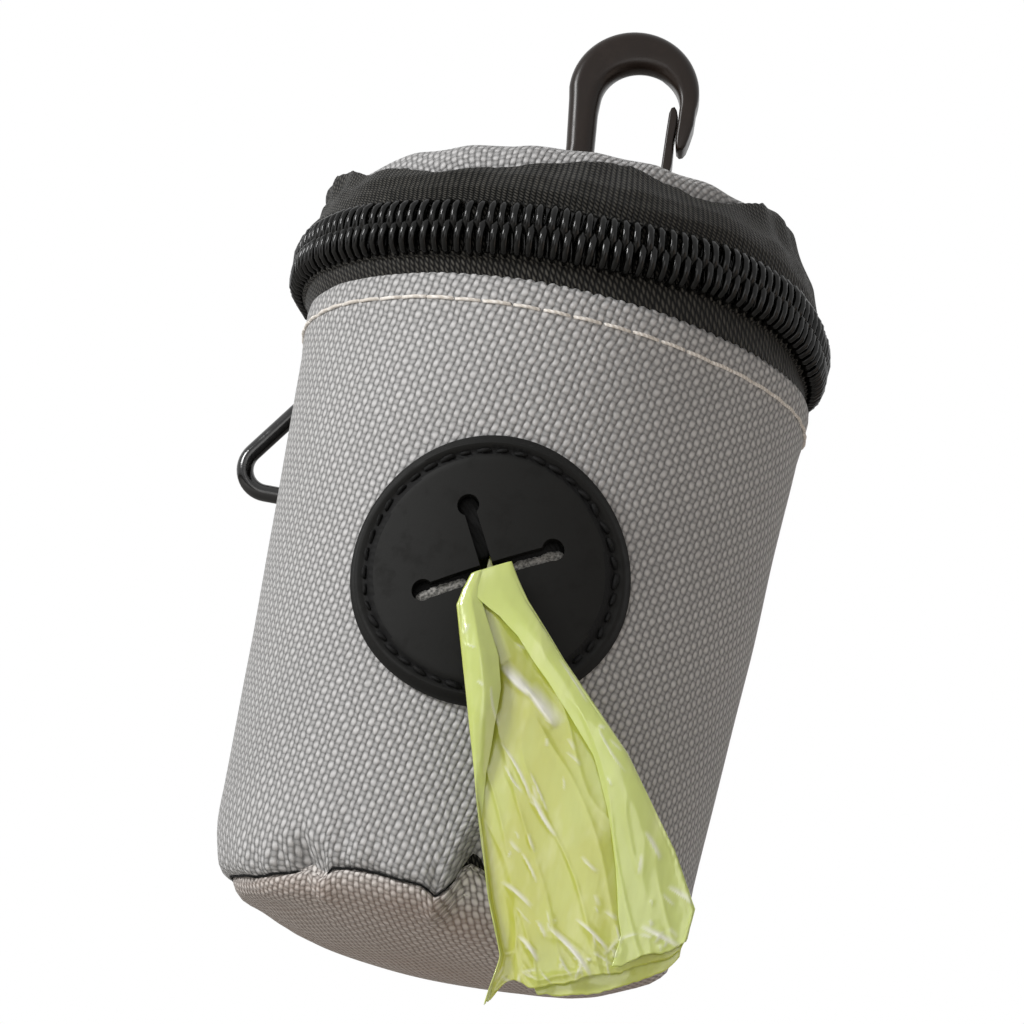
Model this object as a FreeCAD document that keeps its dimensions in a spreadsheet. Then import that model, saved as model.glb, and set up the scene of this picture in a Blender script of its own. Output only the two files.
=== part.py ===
import FreeCAD, Part
import math
import os
import re

import Sketcher
from FreeCAD import Placement, Rotation, Vector

# A cylindrical fabric pouch for one roll of bags. It is modelled upright: heights are counted from the lowest
# point of its base, the front faces -Y and the pouch's axis is the Z axis. Every sub-part is then placed so that
# the centre of the snap hook's eye, from which the pouch hangs, is at the origin.

DIMENSIONS = {
    # Woven shell, foam and lining of the wall
    "seam_height": 6.5,
    "wall_top": 66.4,
    "wall_base_radius": 24.7,
    "wall_top_radius": 27.5,
    "cloth": 0.6,
    "wall_foam": 1.2,
    "lining": 0.4,
    "foam_stop": 61.4,
    # Base
    "base_pad_edge": 0.6,
    "binding_depth": 5.1,
    "binding_thickness": 1.1,
    # Zip chain and its tapes
    "tape": 0.5,
    "tape_radius": 27.4,
    "coil_radius": 29.9,
    "lower_coil_base": 69.0,
    "chain_height": 71.8,
    "chain_gap": 0.6,
    "upper_coil_top": 74.6,
    "tape_top": 77.4,
    "lower_coil_sweep": 300.0,
    "lid_sweep": 272.0,
    "tail_sweep": 13.0,
    "stop_sweep": 3.0,
    # Back bridge, the fabric hinge
    "bridge_radius": 27.2,
    "bridge_thickness": 0.7,
    "bridge_top": 75.6,
    "bridge_sweep": 44.0,
    "bridge_wing_sweep": 87.0,
    # Lid
    "lid_height": 89.0,
    "lid_radius": 23.0,
    "lid_curve": 0.0102,
    "lid_foam": 2.0,
    # Dispenser patch
    "patch_height": 36.8,
    "patch_radius": 13.8,
    "patch_thickness": 1.5,
    "patch_turn": 28.0,
    "port_radius": 8.5,
    "slit_reach": 6.8,
    "slit_width": 0.9,
    "slit_end_radius": 1.1,
    # Roll of bags, its film and the bag's tail
    "roll_radius": 17.5,
    "roll_bore": 7.0,
    "roll_length": 58.0,
    "roll_base": 7.6,
    "core_bore": 6.0,
    "core_length": 60.0,
    "film_feed": 0.5,
    "tail_front": 29.6,
    "tail_thickness": 2.8,
    # Webbing strap at the back
    "strap_width": 12.0,
    "strap_thickness": 2.4,
    "strap_base": 44.0,
    "strap_sweep": 25.6,
    "hook_back": 31.5,
    "bar_height": 73.0,
    "loop_radius": 2.8,
    "loop_bore": 1.6,
    # Swivel base
    "bar_radius": 1.3,
    "swivel_width": 16.0,
    "swivel_window": 13.0,
    "swivel_thickness": 3.6,
    "boss_radius": 4.0,
    "boss_base": 79.0,
    "boss_top": 87.0,
    "stem_radius": 2.05,
    "stem_clearance": 0.1,
    "stem_head": 3.2,
    # Snap hook
    "hook_thickness": 3.5,
    "hook_base": 87.3,
    "eye_side": -0.9,
    "eye_height": 109.8,
    "eye_radius": 4.45,
    "crown_side": -1.15,
    "crown_height": 112.1,
    "crown_radius": 7.65,
    "gate_side": 4.5,
    "gate_height": 95.8,
    "gate_root": 1.7,
    "gate_thickness": 1.9,
    "gate_slot": 2.2,
    "pin_radius": 0.55,
    # Wire clip at the back left, and the tab that holds it
    "clip_back": 29.5,
    "clip_wire": 1.0,
    "clip_gate_wire": 0.9,
    "clip_gate_room": 0.4,
    "tab_turn": 119.66,
    "tab_reach": 33.95,
    "tab_height": 58.7,
    "tab_width": 4.0,
    "tab_thickness": 2.4,
    "tab_loop": 3.1,
    "tab_bore": 1.9,
    # Slider and pull tab
    "slider_turn": 57.0,
    "slider_length": 8.4,
    "slider_base": 67.6,
    "slider_top": 76.0,
    "slider_outer": 30.3,
    "slider_inner": 25.8,
    "slider_plate": 1.2,
    "slider_post": 3.0,
    "slider_neck": 0.3,
    "bail_reach": 34.1,
    "bail_width": 1.6,
    "pull_radius": 32.4,
    "pull_height": 70.9,
    "pull_thickness": 0.8,
    "pull_length": 17.0,
}

XY, XZ, YZ = "XY_Plane", "XZ_Plane", "YZ_Plane"
FRONT, BACK = -90.0, 90.0

# Outline of the bag's tail, seen from the front: from the slit down its left edge, along the ragged hem and
# back up its right edge.
TAIL_OUTLINE = [
    (-1.5, 35.8), (-2.2, 32.2), (0.1, 24.9), (3.7, 13.4), (6.8, 4.1), (9.2, -1.4), (8.5, -5.6), (13.5, -3.5),
    (19.0, -1.4), (23.4, 0.9), (26.7, 4.0), (26.8, 7.5), (22.9, 13.7), (17.6, 20.7), (12.5, 26.3), (7.5, 31.5),
    (2.4, 37.0),
]
# Corners of the wire clip's centre line and the radius at each: top, lower left, lower right.
CLIP_CORNERS = [((-27.8, 71.0), 3.0), ((-39.17, 54.7), 2.9), ((-10.8, 54.7), 4.0)]
CLIP_MOUTH = (4.2, 10.6)

document = FreeCAD.newDocument("PoopBagDispenser")
sheet = document.addObject("Spreadsheet::Sheet", "Sizes")
parts = []


def fill_sheet():
    """Write every driving dimension into the sheet under its alias."""
    for row, (alias, size) in enumerate(DIMENSIONS.items(), start=1):
        sheet.set(f"A{row}", alias)
        sheet.set(f"B{row}", str(size))
        sheet.setAlias(f"B{row}", alias)
    document.recompute()


def bound(formula):
    """The formula with each dimension's name turned into a reference to the sheet."""
    def refer(word):
        return "Sizes." + word.group() if word.group() in DIMENSIONS else word.group()
    return re.sub(r"[a-z][a-z_]*", refer, str(formula))


def size(formula):
    """The formula's present value."""
    return float(sheet.evalExpression(bound(formula)))


def wall_radius(height):
    """Formula of the wall's outer radius at a height."""
    slope = "(wall_top_radius - wall_base_radius) / (wall_top - seam_height)"
    return f"(wall_base_radius + (({height}) - seam_height) * {slope})"


def place(item, move=("0", "0", "0"), turn=0.0):
    """Turn an item about the pouch's axis, move it, and hang the result from the hook's eye."""
    hung = Vector(-size("eye_side"), -size("hook_back"), -size("eye_height"))
    item.Placement = Placement(hung + Vector(*[size(part) for part in move]), Rotation(Vector(0, 0, 1), turn))


def finish(item, label, move=("0", "0", "0"), turn=0.0):
    """Name a finished sub-part, place it and list it for export."""
    item.Label = label
    place(item, move, turn)
    parts.append(item)
    return item


def new_body(name):
    """A PartDesign body of its own."""
    return document.addObject("PartDesign::Body", name)


def new_sketch(body, plane):
    """A sketch on one of the body's own origin planes."""
    sketch = body.newObject("Sketcher::SketchObject", body.Name + "Sketch")
    origin_plane = next(item for item in body.Origin.OriginFeatures if item.Role == plane)
    sketch.AttachmentSupport = [(origin_plane, "")]
    sketch.MapMode = "FlatFace"
    return sketch


def hold_point(sketch, edge, end, across, up):
    """Dimension a point from the sketch's origin, with both distances bound to the sheet."""
    for kind, axis, formula in (("DistanceX", -2, across), ("DistanceY", -1, up)):
        if size(formula) == 0:
            sketch.addConstraint(Sketcher.Constraint("PointOnObject", edge, end, axis))
            continue
        index = sketch.addConstraint(Sketcher.Constraint(kind, -1, 1, edge, end, size(formula)))
        sketch.setExpression(f"Constraints[{index}]", bound(formula))


def draw_polygon(sketch, points):
    """Draw a closed outline through points given as pairs of formulas."""
    spots = [Vector(size(across), size(up), 0) for across, up in points]
    for index, spot in enumerate(spots):
        sketch.addGeometry(Part.LineSegment(spot, spots[(index + 1) % len(spots)]))
    for index in range(len(spots)):
        following = (index + 1) % len(spots)
        sketch.addConstraint(Sketcher.Constraint("Coincident", index, 2, following, 1))
    for index, (across, up) in enumerate(points):
        hold_point(sketch, index, 1, across, up)


def draw_circle(sketch, across, up, radius):
    """Draw a circle with its centre and radius bound to the sheet."""
    edge = sketch.addGeometry(Part.Circle(Vector(size(across), size(up), 0), Vector(0, 0, 1), size(radius)))
    hold_point(sketch, edge, 3, across, up)
    index = sketch.addConstraint(Sketcher.Constraint("Radius", edge, size(radius)))
    sketch.setExpression(f"Constraints[{index}]", bound(radius))


def revolve(body, points, sweep=360, kind="PartDesign::Revolution"):
    """Turn an outline of radius and height about the body's upright axis."""
    sketch = new_sketch(body, XZ)
    draw_polygon(sketch, points)
    document.recompute()
    feature = body.newObject(kind, body.Name + "Turn")
    feature.Profile = sketch
    feature.ReferenceAxis = (sketch, ["V_Axis"])
    feature.Midplane = True
    feature.setExpression("Angle", bound(sweep))
    document.recompute()
    return feature


def extrude(body, plane, thickness, points=None, circle=None, kind="PartDesign::Pad"):
    """Pad or pocket an outline or a circle by the same distance on both sides of its plane."""
    sketch = new_sketch(body, plane)
    if circle:
        draw_circle(sketch, *circle)
    else:
        draw_polygon(sketch, points)
    document.recompute()
    before = body.Shape.Volume if body.Tip else 0.0
    feature = body.newObject(kind, body.Name + "Feature")
    feature.Profile = sketch
    feature.Midplane = True
    feature.setExpression("Length", bound(thickness))
    document.recompute()
    if kind == "PartDesign::Pocket" and body.Shape.Volume >= before:
        raise ValueError(f"a pocket of {body.Label} cuts nothing")
    return feature


def cut(body, plane, thickness, points=None, circle=None):
    """Pocket an outline or a circle on both sides of its plane."""
    return extrude(body, plane, thickness, points, circle, "PartDesign::Pocket")


def ring(label, points, sweep=360, turn=0.0):
    """A sub-part that is one revolved outline."""
    body = new_body(label)
    revolve(body, points, sweep)
    return finish(body, label, turn=turn)


def make_wall():
    """The three layers of the wall, each with the round port behind the patch."""
    layers = (
        ("outer_wall", "0", "cloth", "wall_top"),
        ("wall_foam_layer", "cloth", "wall_foam", "foam_stop"),
        ("wall_lining", "cloth + wall_foam", "lining", "foam_stop"),
    )
    for label, depth, thickness, top in layers:
        inner = f"({depth} + {thickness})"
        body = new_body(label)
        revolve(body, [
            (f"{wall_radius('seam_height')} - {inner}", "seam_height"),
            (f"{wall_radius('seam_height')} - ({depth})", "seam_height"),
            (f"{wall_radius(top)} - ({depth})", top),
            (f"{wall_radius(top)} - {inner}", top),
        ])
        sketch = new_sketch(body, XZ)
        draw_circle(sketch, "0", "patch_height", "port_radius")
        document.recompute()
        whole = body.Shape.Volume
        port = body.newObject("PartDesign::Pocket", body.Name + "Port")
        port.Profile = sketch
        port.Reversed = True
        port.setExpression("Length", bound("wall_top_radius + 2 * cloth"))
        document.recompute()
        if body.Shape.Volume >= whole:
            raise ValueError(f"the port of {label} cuts nothing")
        finish(body, label)


def dome_under(offset):
    """Half outline of the base's dome, raised by an offset, from the axis to the seam."""
    shares = ((0, 0), (0.37, 0.02), (0.61, 0.115), (0.79, 0.26), (0.91, 0.48), (0.98, 0.75))
    reach = f"(wall_base_radius - {offset})"
    points = [(f"{across} * {reach}", f"{up} * seam_height + {offset} * (1 - {up})") for across, up in shares]
    return points + [(reach, "seam_height")]


def make_base():
    """Domed base panel, the pad in it, the lining over it and the binding round its seam."""
    ring("base_panel", dome_under("0") + dome_under("cloth")[::-1])
    ring("base_pad", dome_under("cloth") + [("0", "seam_height")])
    inside = "(wall_base_radius - cloth - wall_foam - lining)"
    ring("base_lining", [
        ("0", "seam_height"), (f"{inside} - 0.1", "seam_height"),
        (f"{inside} - 0.1", "seam_height + lining"), ("0", "seam_height + lining"),
    ])
    low = "seam_height + lining"
    ring("base_binding", [
        (f"{inside} - 0.2 - binding_thickness", low), (f"{inside} - 0.2", low),
        (f"{inside} - 0.2", f"{low} + binding_depth"),
        (f"{inside} - 0.2 - binding_thickness", f"{low} + binding_depth"),
    ])


def coil(label, bottom, top, sweep, turn):
    """One half of the zip chain as a band with rounded shoulders."""
    return ring(label, coil_outline(bottom, top), sweep, turn)


def coil_outline(bottom, top):
    """Outline of one half of the chain, with its outer corners cut off."""
    shoulder = "0.7"
    return [
        ("tape_radius", bottom), (f"coil_radius - {shoulder}", bottom), ("coil_radius", f"{bottom} + {shoulder}"),
        ("coil_radius", f"{top} - {shoulder}"), (f"coil_radius - {shoulder}", top), ("tape_radius", top),
    ]


def pair_of_arcs(label, points, sweep, middle):
    """Two short revolved pieces, one each side of the back, as one sub-part."""
    sides = []
    for side, angle in (("Right", BACK - middle), ("Left", BACK + middle)):
        body = new_body(label + side)
        revolve(body, points, sweep)
        body.Placement = Placement(Vector(), Rotation(Vector(0, 0, 1), angle))
        sides.append(body)
    group = document.addObject("Part::Compound", label)
    group.Links = sides
    return finish(group, label)


def make_lower_zip():
    """Lower tape, lower coil, the end stops and the part of the upper coil that stays on the pouch."""
    inner = "tape_radius - tape"
    behind = "cloth + tape"
    ring("lower_zip_tape", [
        (f"{wall_radius('foam_stop + 0.2')} - ({behind})", "foam_stop + 0.2"),
        (f"{wall_radius('foam_stop + 0.2')} - cloth", "foam_stop + 0.2"),
        (f"{wall_radius('wall_top')} - cloth", "wall_top"),
        ("tape_radius", "wall_top + cloth"),
        ("tape_radius", "chain_height - chain_gap / 2"),
        (inner, "chain_height - chain_gap / 2"),
        (inner, "wall_top + cloth + 0.2"),
        (f"{wall_radius('wall_top')} - ({behind})", "wall_top + 0.1"),
    ])
    coil("lower_zip_coil", "lower_coil_base", "chain_height - chain_gap / 2", "lower_coil_sweep", FRONT)
    gap_top = "chain_height + chain_gap / 2"
    past_lid = 180.0 - size("lid_sweep / 2 + 0.7 + tail_sweep / 2")
    pair_of_arcs("upper_coil_tails", coil_outline(gap_top, "upper_coil_top"), "tail_sweep", past_lid)
    past_coil = 180.0 - size("lower_coil_sweep / 2 + 0.3 + stop_sweep / 2")
    pair_of_arcs("zip_end_stops", coil_outline("lower_coil_base", "upper_coil_top"), "stop_sweep", past_coil)


def make_bridge():
    """Fabric hinge at the back: full height in the middle, and only above the chain in its wings."""
    inner = "bridge_radius - bridge_thickness"
    body = new_body("back_bridge")
    gap_top = "chain_height + chain_gap / 2"
    for low, sweep in (("chain_height - chain_gap / 2", "bridge_sweep"), (gap_top, "bridge_wing_sweep")):
        revolve(body, [(inner, low), ("bridge_radius", low), ("bridge_radius", "bridge_top"), (inner, "bridge_top")],
                sweep)
    finish(body, "back_bridge", turn=BACK)


def dome_over(offset):
    """Half outline of the lid's dome, lowered by an offset, from the axis to its edge."""
    shares = (0, 0.28, 0.52, 0.74, 0.9, 1)
    return [
        (f"{share} * lid_radius", f"lid_height - ({offset}) - ({share} * lid_radius)^2 * lid_curve")
        for share in shares
    ]


def make_lid():
    """Domed lid in three layers, its binding, the upper tape and the moving part of the upper coil."""
    layers = (
        ("lid_panel", "0", "cloth"),
        ("lid_foam_pad", "cloth", "lid_foam"),
        ("lid_lining", "cloth + lid_foam", "lining"),
    )
    for label, depth, thickness in layers:
        ring(label, dome_over(depth) + dome_over(f"{depth} + {thickness}")[::-1])
    ring("lid_binding", [
        ("lid_radius - 0.8", "lid_height - 9.8"), ("lid_radius + 0.5", "lid_height - 9.8"),
        ("lid_radius + 0.5", "lid_height - 8.5"), ("lid_radius - 0.8", "lid_height - 8.5"),
    ])
    body = new_body("upper_zip_tape")
    edge = "lid_height - lid_radius^2 * lid_curve"
    revolve(body, [
        ("lid_radius", f"{edge} - cloth"), ("lid_radius", edge), ("lid_radius + 1.8", f"{edge} - 1.2"),
        ("tape_radius - 0.8", "tape_top + 2.6"), ("tape_radius + 0.2", "tape_top"),
        ("tape_radius - 0.4", "tape_top"), ("tape_radius - 1.3", "tape_top + 2.3"),
        ("lid_radius + 1.4", f"{edge} - 1.7"),
    ])
    gap_top = "chain_height + chain_gap / 2"
    revolve(body, [
        ("tape_radius - tape", gap_top), ("tape_radius", gap_top), ("tape_radius", "upper_coil_top"),
        ("tape_radius + 0.2", "tape_top"), ("tape_radius - 0.4", "tape_top"),
    ], "lid_sweep")
    finish(body, "upper_zip_tape", turn=FRONT)
    coil("upper_zip_coil", gap_top, "upper_coil_top", "lid_sweep", FRONT)


def make_patch():
    """Silicone disc that follows the wall, with a turned cross slit that ends in round holes."""
    low = "patch_height - patch_radius - 1"
    high = "patch_height + patch_radius + 1"
    shell = new_body("PatchShell")
    revolve(shell, [
        (wall_radius(low), low), (f"{wall_radius(low)} + patch_thickness", low),
        (f"{wall_radius(high)} + patch_thickness", high), (wall_radius(high), high),
    ], "90")
    shell.Placement = Placement(Vector(), Rotation(Vector(0, 0, 1), FRONT))
    disc = front_cylinder("PatchDisc", "patch_radius", Vector(0, 0, size("patch_height")))
    round_shell = document.addObject("Part::Common", "PatchRound")
    round_shell.Base = shell
    round_shell.Tool = disc
    cutters = []
    for arm in range(4):
        angle = math.radians(size("patch_turn") + 90.0 * arm)
        along = Vector(math.cos(angle), 0, math.sin(angle))
        centre = Vector(0, 0, size("patch_height")) + along * size("slit_reach")
        cutters.append(front_cylinder(f"SlitEnd{arm}", "slit_end_radius", centre))
    for arm in range(2):
        slit = document.addObject("Part::Box", f"Slit{arm}")
        slit.setExpression("Length", bound("2 * slit_reach"))
        slit.setExpression("Width", bound("2 * wall_top_radius"))
        slit.setExpression("Height", bound("slit_width"))
        spin = Rotation(Vector(0, -1, 0), size("patch_turn") + 90.0 * arm)
        corner = Vector(-size("slit_reach"), -2 * size("wall_top_radius"), -size("slit_width") / 2)
        slit.Placement = Placement(Vector(0, 0, size("patch_height")) + spin.multVec(corner), spin)
        cutters.append(slit)
    cross = document.addObject("Part::MultiFuse", "PatchCross")
    cross.Shapes = cutters
    patch = document.addObject("Part::Cut", "dispenser_patch")
    patch.Base = round_shell
    patch.Tool = cross
    finish(patch, "dispenser_patch")


def front_cylinder(name, radius, centre):
    """A cylinder that runs forwards from a point, along -Y."""
    cylinder = document.addObject("Part::Cylinder", name)
    cylinder.setExpression("Radius", bound(radius))
    cylinder.setExpression("Height", bound("2 * wall_top_radius"))
    cylinder.Placement = Placement(centre, Rotation(Vector(1, 0, 0), 90))
    return cylinder


def make_roll():
    """Roll of bags on its cardboard core, and the film that leads from it to the slit."""
    top = "roll_base + roll_length"
    ring("bag_roll", [
        ("roll_bore", "roll_base"), ("roll_radius", "roll_base"), ("roll_radius", top), ("roll_bore", top),
    ])
    core_top = "roll_base + core_length"
    ring("roll_core", [
        ("core_bore", "roll_base"), ("roll_bore", "roll_base"), ("roll_bore", core_top), ("core_bore", core_top),
    ])
    feed = new_body("bag_feed")
    extrude(feed, YZ, "film_feed", [
        ("-(roll_radius + 0.4)", "patch_height - 16"), ("-(roll_radius + 0.4)", "patch_height + 16"),
        ("-(roll_radius + 4.3)", "patch_height + 7"), ("-(roll_radius + 8.1)", "patch_height + 3.5"),
        ("-(roll_radius + 8.1)", "patch_height - 3.5"), ("-(roll_radius + 4.3)", "patch_height - 7"),
    ])
    finish(feed, "bag_feed")


def make_tail():
    """The bag's folded tail, hanging in front of the patch."""
    tail = new_body("bag_tail")
    extrude(tail, XZ, "tail_thickness", [(str(across), str(up)) for across, up in TAIL_OUTLINE])
    finish(tail, "bag_tail", move=("0", "-tail_front", "0"))


def make_strap():
    """Webbing sewn up the back of the wall, then folded round the swivel's bar."""
    strap = new_body("back_strap")
    revolve(strap, [
        (wall_radius("strap_base"), "strap_base"), (f"{wall_radius('strap_base')} + strap_thickness", "strap_base"),
        (f"{wall_radius('wall_top')} + strap_thickness", "wall_top"), (wall_radius("wall_top"), "wall_top"),
    ], "strap_sweep")
    wall = wall_radius("wall_top")
    extrude(strap, XZ, "strap_width", [
        (f"{wall} + 0.05", "wall_top - 1.4"), (f"{wall} + strap_thickness + 0.05", "wall_top - 1.4"),
        ("hook_back + 0.9", "bar_height - 2"), ("hook_back - 1.3", "bar_height - 1.3"),
    ])
    extrude(strap, XZ, "strap_width", circle=("hook_back", "bar_height", "loop_radius"))
    cut(strap, XZ, "strap_width", circle=("hook_back", "bar_height", "loop_bore"))
    finish(strap, "back_strap", turn=BACK)


def make_swivel():
    """Plastic yoke: a round bar between two cheeks, with a bored boss on top for the hook's stem."""
    yoke = new_body("swivel_base")
    half = "swivel_width / 2"
    extrude(yoke, XZ, "swivel_thickness", [
        (f"-{half}", "bar_height - 1.6"), (half, "bar_height - 1.6"), (half, "boss_base + 2"),
        (f"{half} - 1.5", "boss_base + 3.5"), (f"1.5 - {half}", "boss_base + 3.5"), (f"-{half}", "boss_base + 2"),
    ])
    cut(yoke, XZ, "2 * swivel_thickness", [
        ("-swivel_window / 2", "bar_height - 4"), ("swivel_window / 2", "bar_height - 4"),
        ("swivel_window / 2", "boss_base"), ("-swivel_window / 2", "boss_base"),
    ])
    extrude(yoke, YZ, "swivel_width", circle=("0", "bar_height", "bar_radius"))
    revolve(yoke, [("0", "boss_base"), ("boss_radius", "boss_base"), ("boss_radius", "boss_top"), ("0", "boss_top")])
    bore = "stem_radius + stem_clearance"
    revolve(yoke, [("0", "boss_base - 1"), (bore, "boss_base - 1"), (bore, "boss_top + 1"), ("0", "boss_top + 1")],
            kind="PartDesign::Groove")
    finish(yoke, "swivel_base", move=("0", "hook_back", "0"))


def make_hook():
    """Snap hook with a round crown, a nose on the right, and a slotted shoulder for its gate."""
    hook = new_body("snap_hook")
    crown_left = "crown_side - crown_radius"
    extrude(hook, XZ, "hook_thickness", [
        (crown_left, "crown_height"), ("-6.4", "hook_base + 3.7"), ("-4.2", "hook_base"), ("4.2", "hook_base"),
        ("6.4", "hook_base + 3.7"), ("crown_side + crown_radius", "crown_height"),
    ])
    extrude(hook, XZ, "hook_thickness", circle=("crown_side", "crown_height", "crown_radius"))
    through = "2 * hook_thickness"
    cut(hook, XZ, through, circle=("eye_side", "eye_height", "eye_radius"))
    shoulder = "gate_height + 2.4"
    cut(hook, XZ, through, [
        ("eye_side - eye_radius", "eye_height"), ("-4", "gate_height + 2"), ("-3", "gate_height + 0.6"),
        ("2.6", "gate_height + 0.6"), ("2.6", shoulder), ("5.4", shoulder), ("4.9", "eye_height - 4.1"),
        ("4.55", "eye_height + 1.4"), ("2.6", "eye_height + 2.75"),
    ])
    cut(hook, XZ, through, [
        ("2.4", shoulder), ("9", shoulder), ("9", "eye_height - 4.1"), ("2.4", "eye_height - 4.1"),
    ])
    cut(hook, XZ, "gate_slot", [
        ("2.6", "gate_height - 2.4"), ("9", "gate_height - 2.4"), ("9", "gate_height + 3"),
        ("2.6", "gate_height + 3"),
    ])
    cut(hook, XZ, through, circle=("gate_side", "gate_height", "pin_radius"))
    revolve(hook, [
        ("0", "boss_base - 1.4"), ("stem_head", "boss_base - 1.4"), ("stem_head", "boss_base - 0.2"),
        ("stem_radius", "boss_base - 0.2"), ("stem_radius", "hook_base + 0.5"), ("0", "hook_base + 0.5"),
    ])
    finish(hook, "snap_hook", move=("0", "hook_back", "0"))

    pin = new_body("gate_pin")
    extrude(pin, XZ, "hook_thickness", circle=("gate_side", "gate_height", "pin_radius"))
    finish(pin, "gate_pin", move=("0", "hook_back", "0"))

    gate = new_body("hook_gate")
    extrude(gate, XZ, "gate_thickness", circle=("gate_side", "gate_height", "gate_root"))
    extrude(gate, XZ, "gate_thickness", [
        ("gate_side - 0.6", "gate_height + 1"), ("gate_side + 0.6", "gate_height + 1"),
        ("4.3", "eye_height + 0.6"), ("3.4", "eye_height + 0.6"),
    ])
    cut(gate, XZ, "2 * gate_thickness", circle=("gate_side", "gate_height", "pin_radius + 0.05"))
    finish(gate, "hook_gate", move=("0", "hook_back", "0"))


def rounded_path(points, radii):
    """A wire of straight runs joined by tangent arcs; the first and last points have no radius."""
    edges = []
    start = points[0]
    for corner, after, radius in zip(points[1:-1], points[2:], radii):
        back = (start - corner).normalize()
        ahead = (after - corner).normalize()
        half = back.getAngle(ahead) / 2
        reach = radius / math.tan(half)
        middle = (back + ahead).normalize()
        inner = corner + middle * (radius / math.sin(half) - radius)
        edges.append(Part.LineSegment(start, corner + back * reach).toShape())
        edges.append(Part.Arc(corner + back * reach, inner, corner + ahead * reach).toShape())
        start = corner + ahead * reach
    edges.append(Part.LineSegment(start, points[-1]).toShape())
    return Part.Wire(edges)


def wire_piece(label, path, radius):
    """A round wire bent along a path, as a Part::Feature."""
    first = path.OrderedEdges[0]
    section = Part.Wire(Part.Circle(first.firstVertex().Point, first.tangentAt(first.FirstParameter), radius).toShape())
    feature = document.addObject("Part::Feature", label)
    feature.Shape = path.makePipeShell([section], True, False)
    return finish(feature, label, move=("0", "clip_back", "0"))


def make_clip():
    """Wire clip with a straight sprung gate, and the webbing tab that holds it."""
    corners = [Vector(across, 0, up) for (across, up), _ in CLIP_CORNERS]
    top, left, right = corners
    leg = (right - top).normalize()
    mouth_start = top + leg * CLIP_MOUTH[0]
    mouth_end = right - leg * CLIP_MOUTH[1]
    radii = [radius for _, radius in CLIP_CORNERS]
    wire_piece("clip_wire", rounded_path([mouth_start, top, left, right, mouth_end], radii), size("clip_wire"))
    room = leg * size("clip_gate_room")
    gate = Part.Wire(Part.LineSegment(mouth_start + room, mouth_end - room).toShape())
    wire_piece("clip_gate", gate, size("clip_gate_wire"))

    tab = new_body("side_tab")
    extrude(tab, XY, "tab_width", [
        (f"{wall_radius('tab_height + tab_width / 2')} + 0.01", "-tab_thickness / 2"),
        ("tab_reach - tab_bore - 0.3", "-tab_thickness / 2"), ("tab_reach - tab_bore - 0.3", "tab_thickness / 2"),
        (f"{wall_radius('tab_height + tab_width / 2')} + 0.01", "tab_thickness / 2"),
    ])
    extrude(tab, XY, "tab_width", circle=("tab_reach", "0", "tab_loop"))
    cut(tab, XY, "2 * tab_width", circle=("tab_reach", "0", "tab_bore"))
    finish(tab, "side_tab", move=("0", "0", "tab_height"), turn=size("tab_turn"))


def make_slider():
    """Slider as two plates joined through the chain's middle, with a bail, and the pull tab on the bail."""
    slider = new_body("zip_slider")
    plates = (("slider_outer", "slider_outer + slider_plate"), ("slider_inner - slider_plate", "slider_inner"))
    extrude(slider, XZ, "slider_post", [
        ("slider_inner - 0.2", "chain_height - slider_neck / 2"),
        ("slider_outer + 0.2", "chain_height - slider_neck / 2"),
        ("slider_outer + 0.2", "chain_height + slider_neck / 2"),
        ("slider_inner - 0.2", "chain_height + slider_neck / 2"),
    ])
    for near, far in plates:
        extrude(slider, XZ, "slider_length", [
            (near, "slider_base"), (far, "slider_base"), (far, "slider_top"), (near, "slider_top"),
        ])
    face = "slider_outer + slider_plate"
    extrude(slider, XZ, "bail_width", [
        (f"{face} - 0.2", "pull_height - 1.9"), ("bail_reach", "pull_height - 1.9"),
        ("bail_reach", "pull_height + 3.7"), (f"{face} - 0.2", "pull_height + 3.7"),
    ])
    cut(slider, XZ, "2 * bail_width", [
        (face, "pull_height - 1"), ("bail_reach - 0.8", "pull_height - 1"),
        ("bail_reach - 0.8", "pull_height + 2.8"), (face, "pull_height + 2.8"),
    ])
    finish(slider, "zip_slider", turn=size("slider_turn"))

    pull = new_body("pull_tab")
    low = "pull_height + 0.6 - pull_length"
    extrude(pull, YZ, "pull_thickness", [
        ("-2.3", "pull_height + 0.6"), ("-2.3", "pull_height - 5"), ("-3.1", "pull_height - 7"), ("-3.1", low),
        ("3.1", low), ("3.1", "pull_height - 7"), ("2.3", "pull_height - 5"), ("2.3", "pull_height + 0.6"),
    ])
    cut(pull, YZ, "2 * pull_thickness", [
        ("-1.3", "pull_height - 0.6"), ("-1.3", "pull_height - 2.9"), ("1.3", "pull_height - 2.9"),
        ("1.3", "pull_height - 0.6"),
    ])
    turn = math.radians(size("slider_turn"))
    reach = size("pull_radius")
    move = (str(reach * math.cos(turn)), str(reach * math.sin(turn)), "0")
    finish(pull, "pull_tab", move=move, turn=size("slider_turn"))


def check_and_export():
    """Refuse a failed object or a bad shape, then write one STEP file for each sub-part."""
    document.recompute()
    for item in document.Objects:
        if {"Invalid", "Error"} & set(item.State):
            raise ValueError(f"{item.Label} did not compute: {item.State}")
    for item in parts:
        if item.Shape.isNull() or not item.Shape.isValid() or not item.Shape.Solids:
            raise ValueError(f"{item.Label} has no sound solid")
    os.makedirs("parts", exist_ok=True)
    for item in parts:
        item.Shape.exportStep(f"parts/{item.Label}.step")
        print(f"{item.Label}: {item.Shape.Volume:.1f} mm3, {len(item.Shape.Solids)} solid(s)")


fill_sheet()
make_wall()
make_base()
make_lower_zip()
make_bridge()
make_lid()
make_patch()
make_roll()
make_tail()
make_strap()
make_swivel()
make_hook()
make_clip()
make_slider()
check_and_export()
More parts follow.
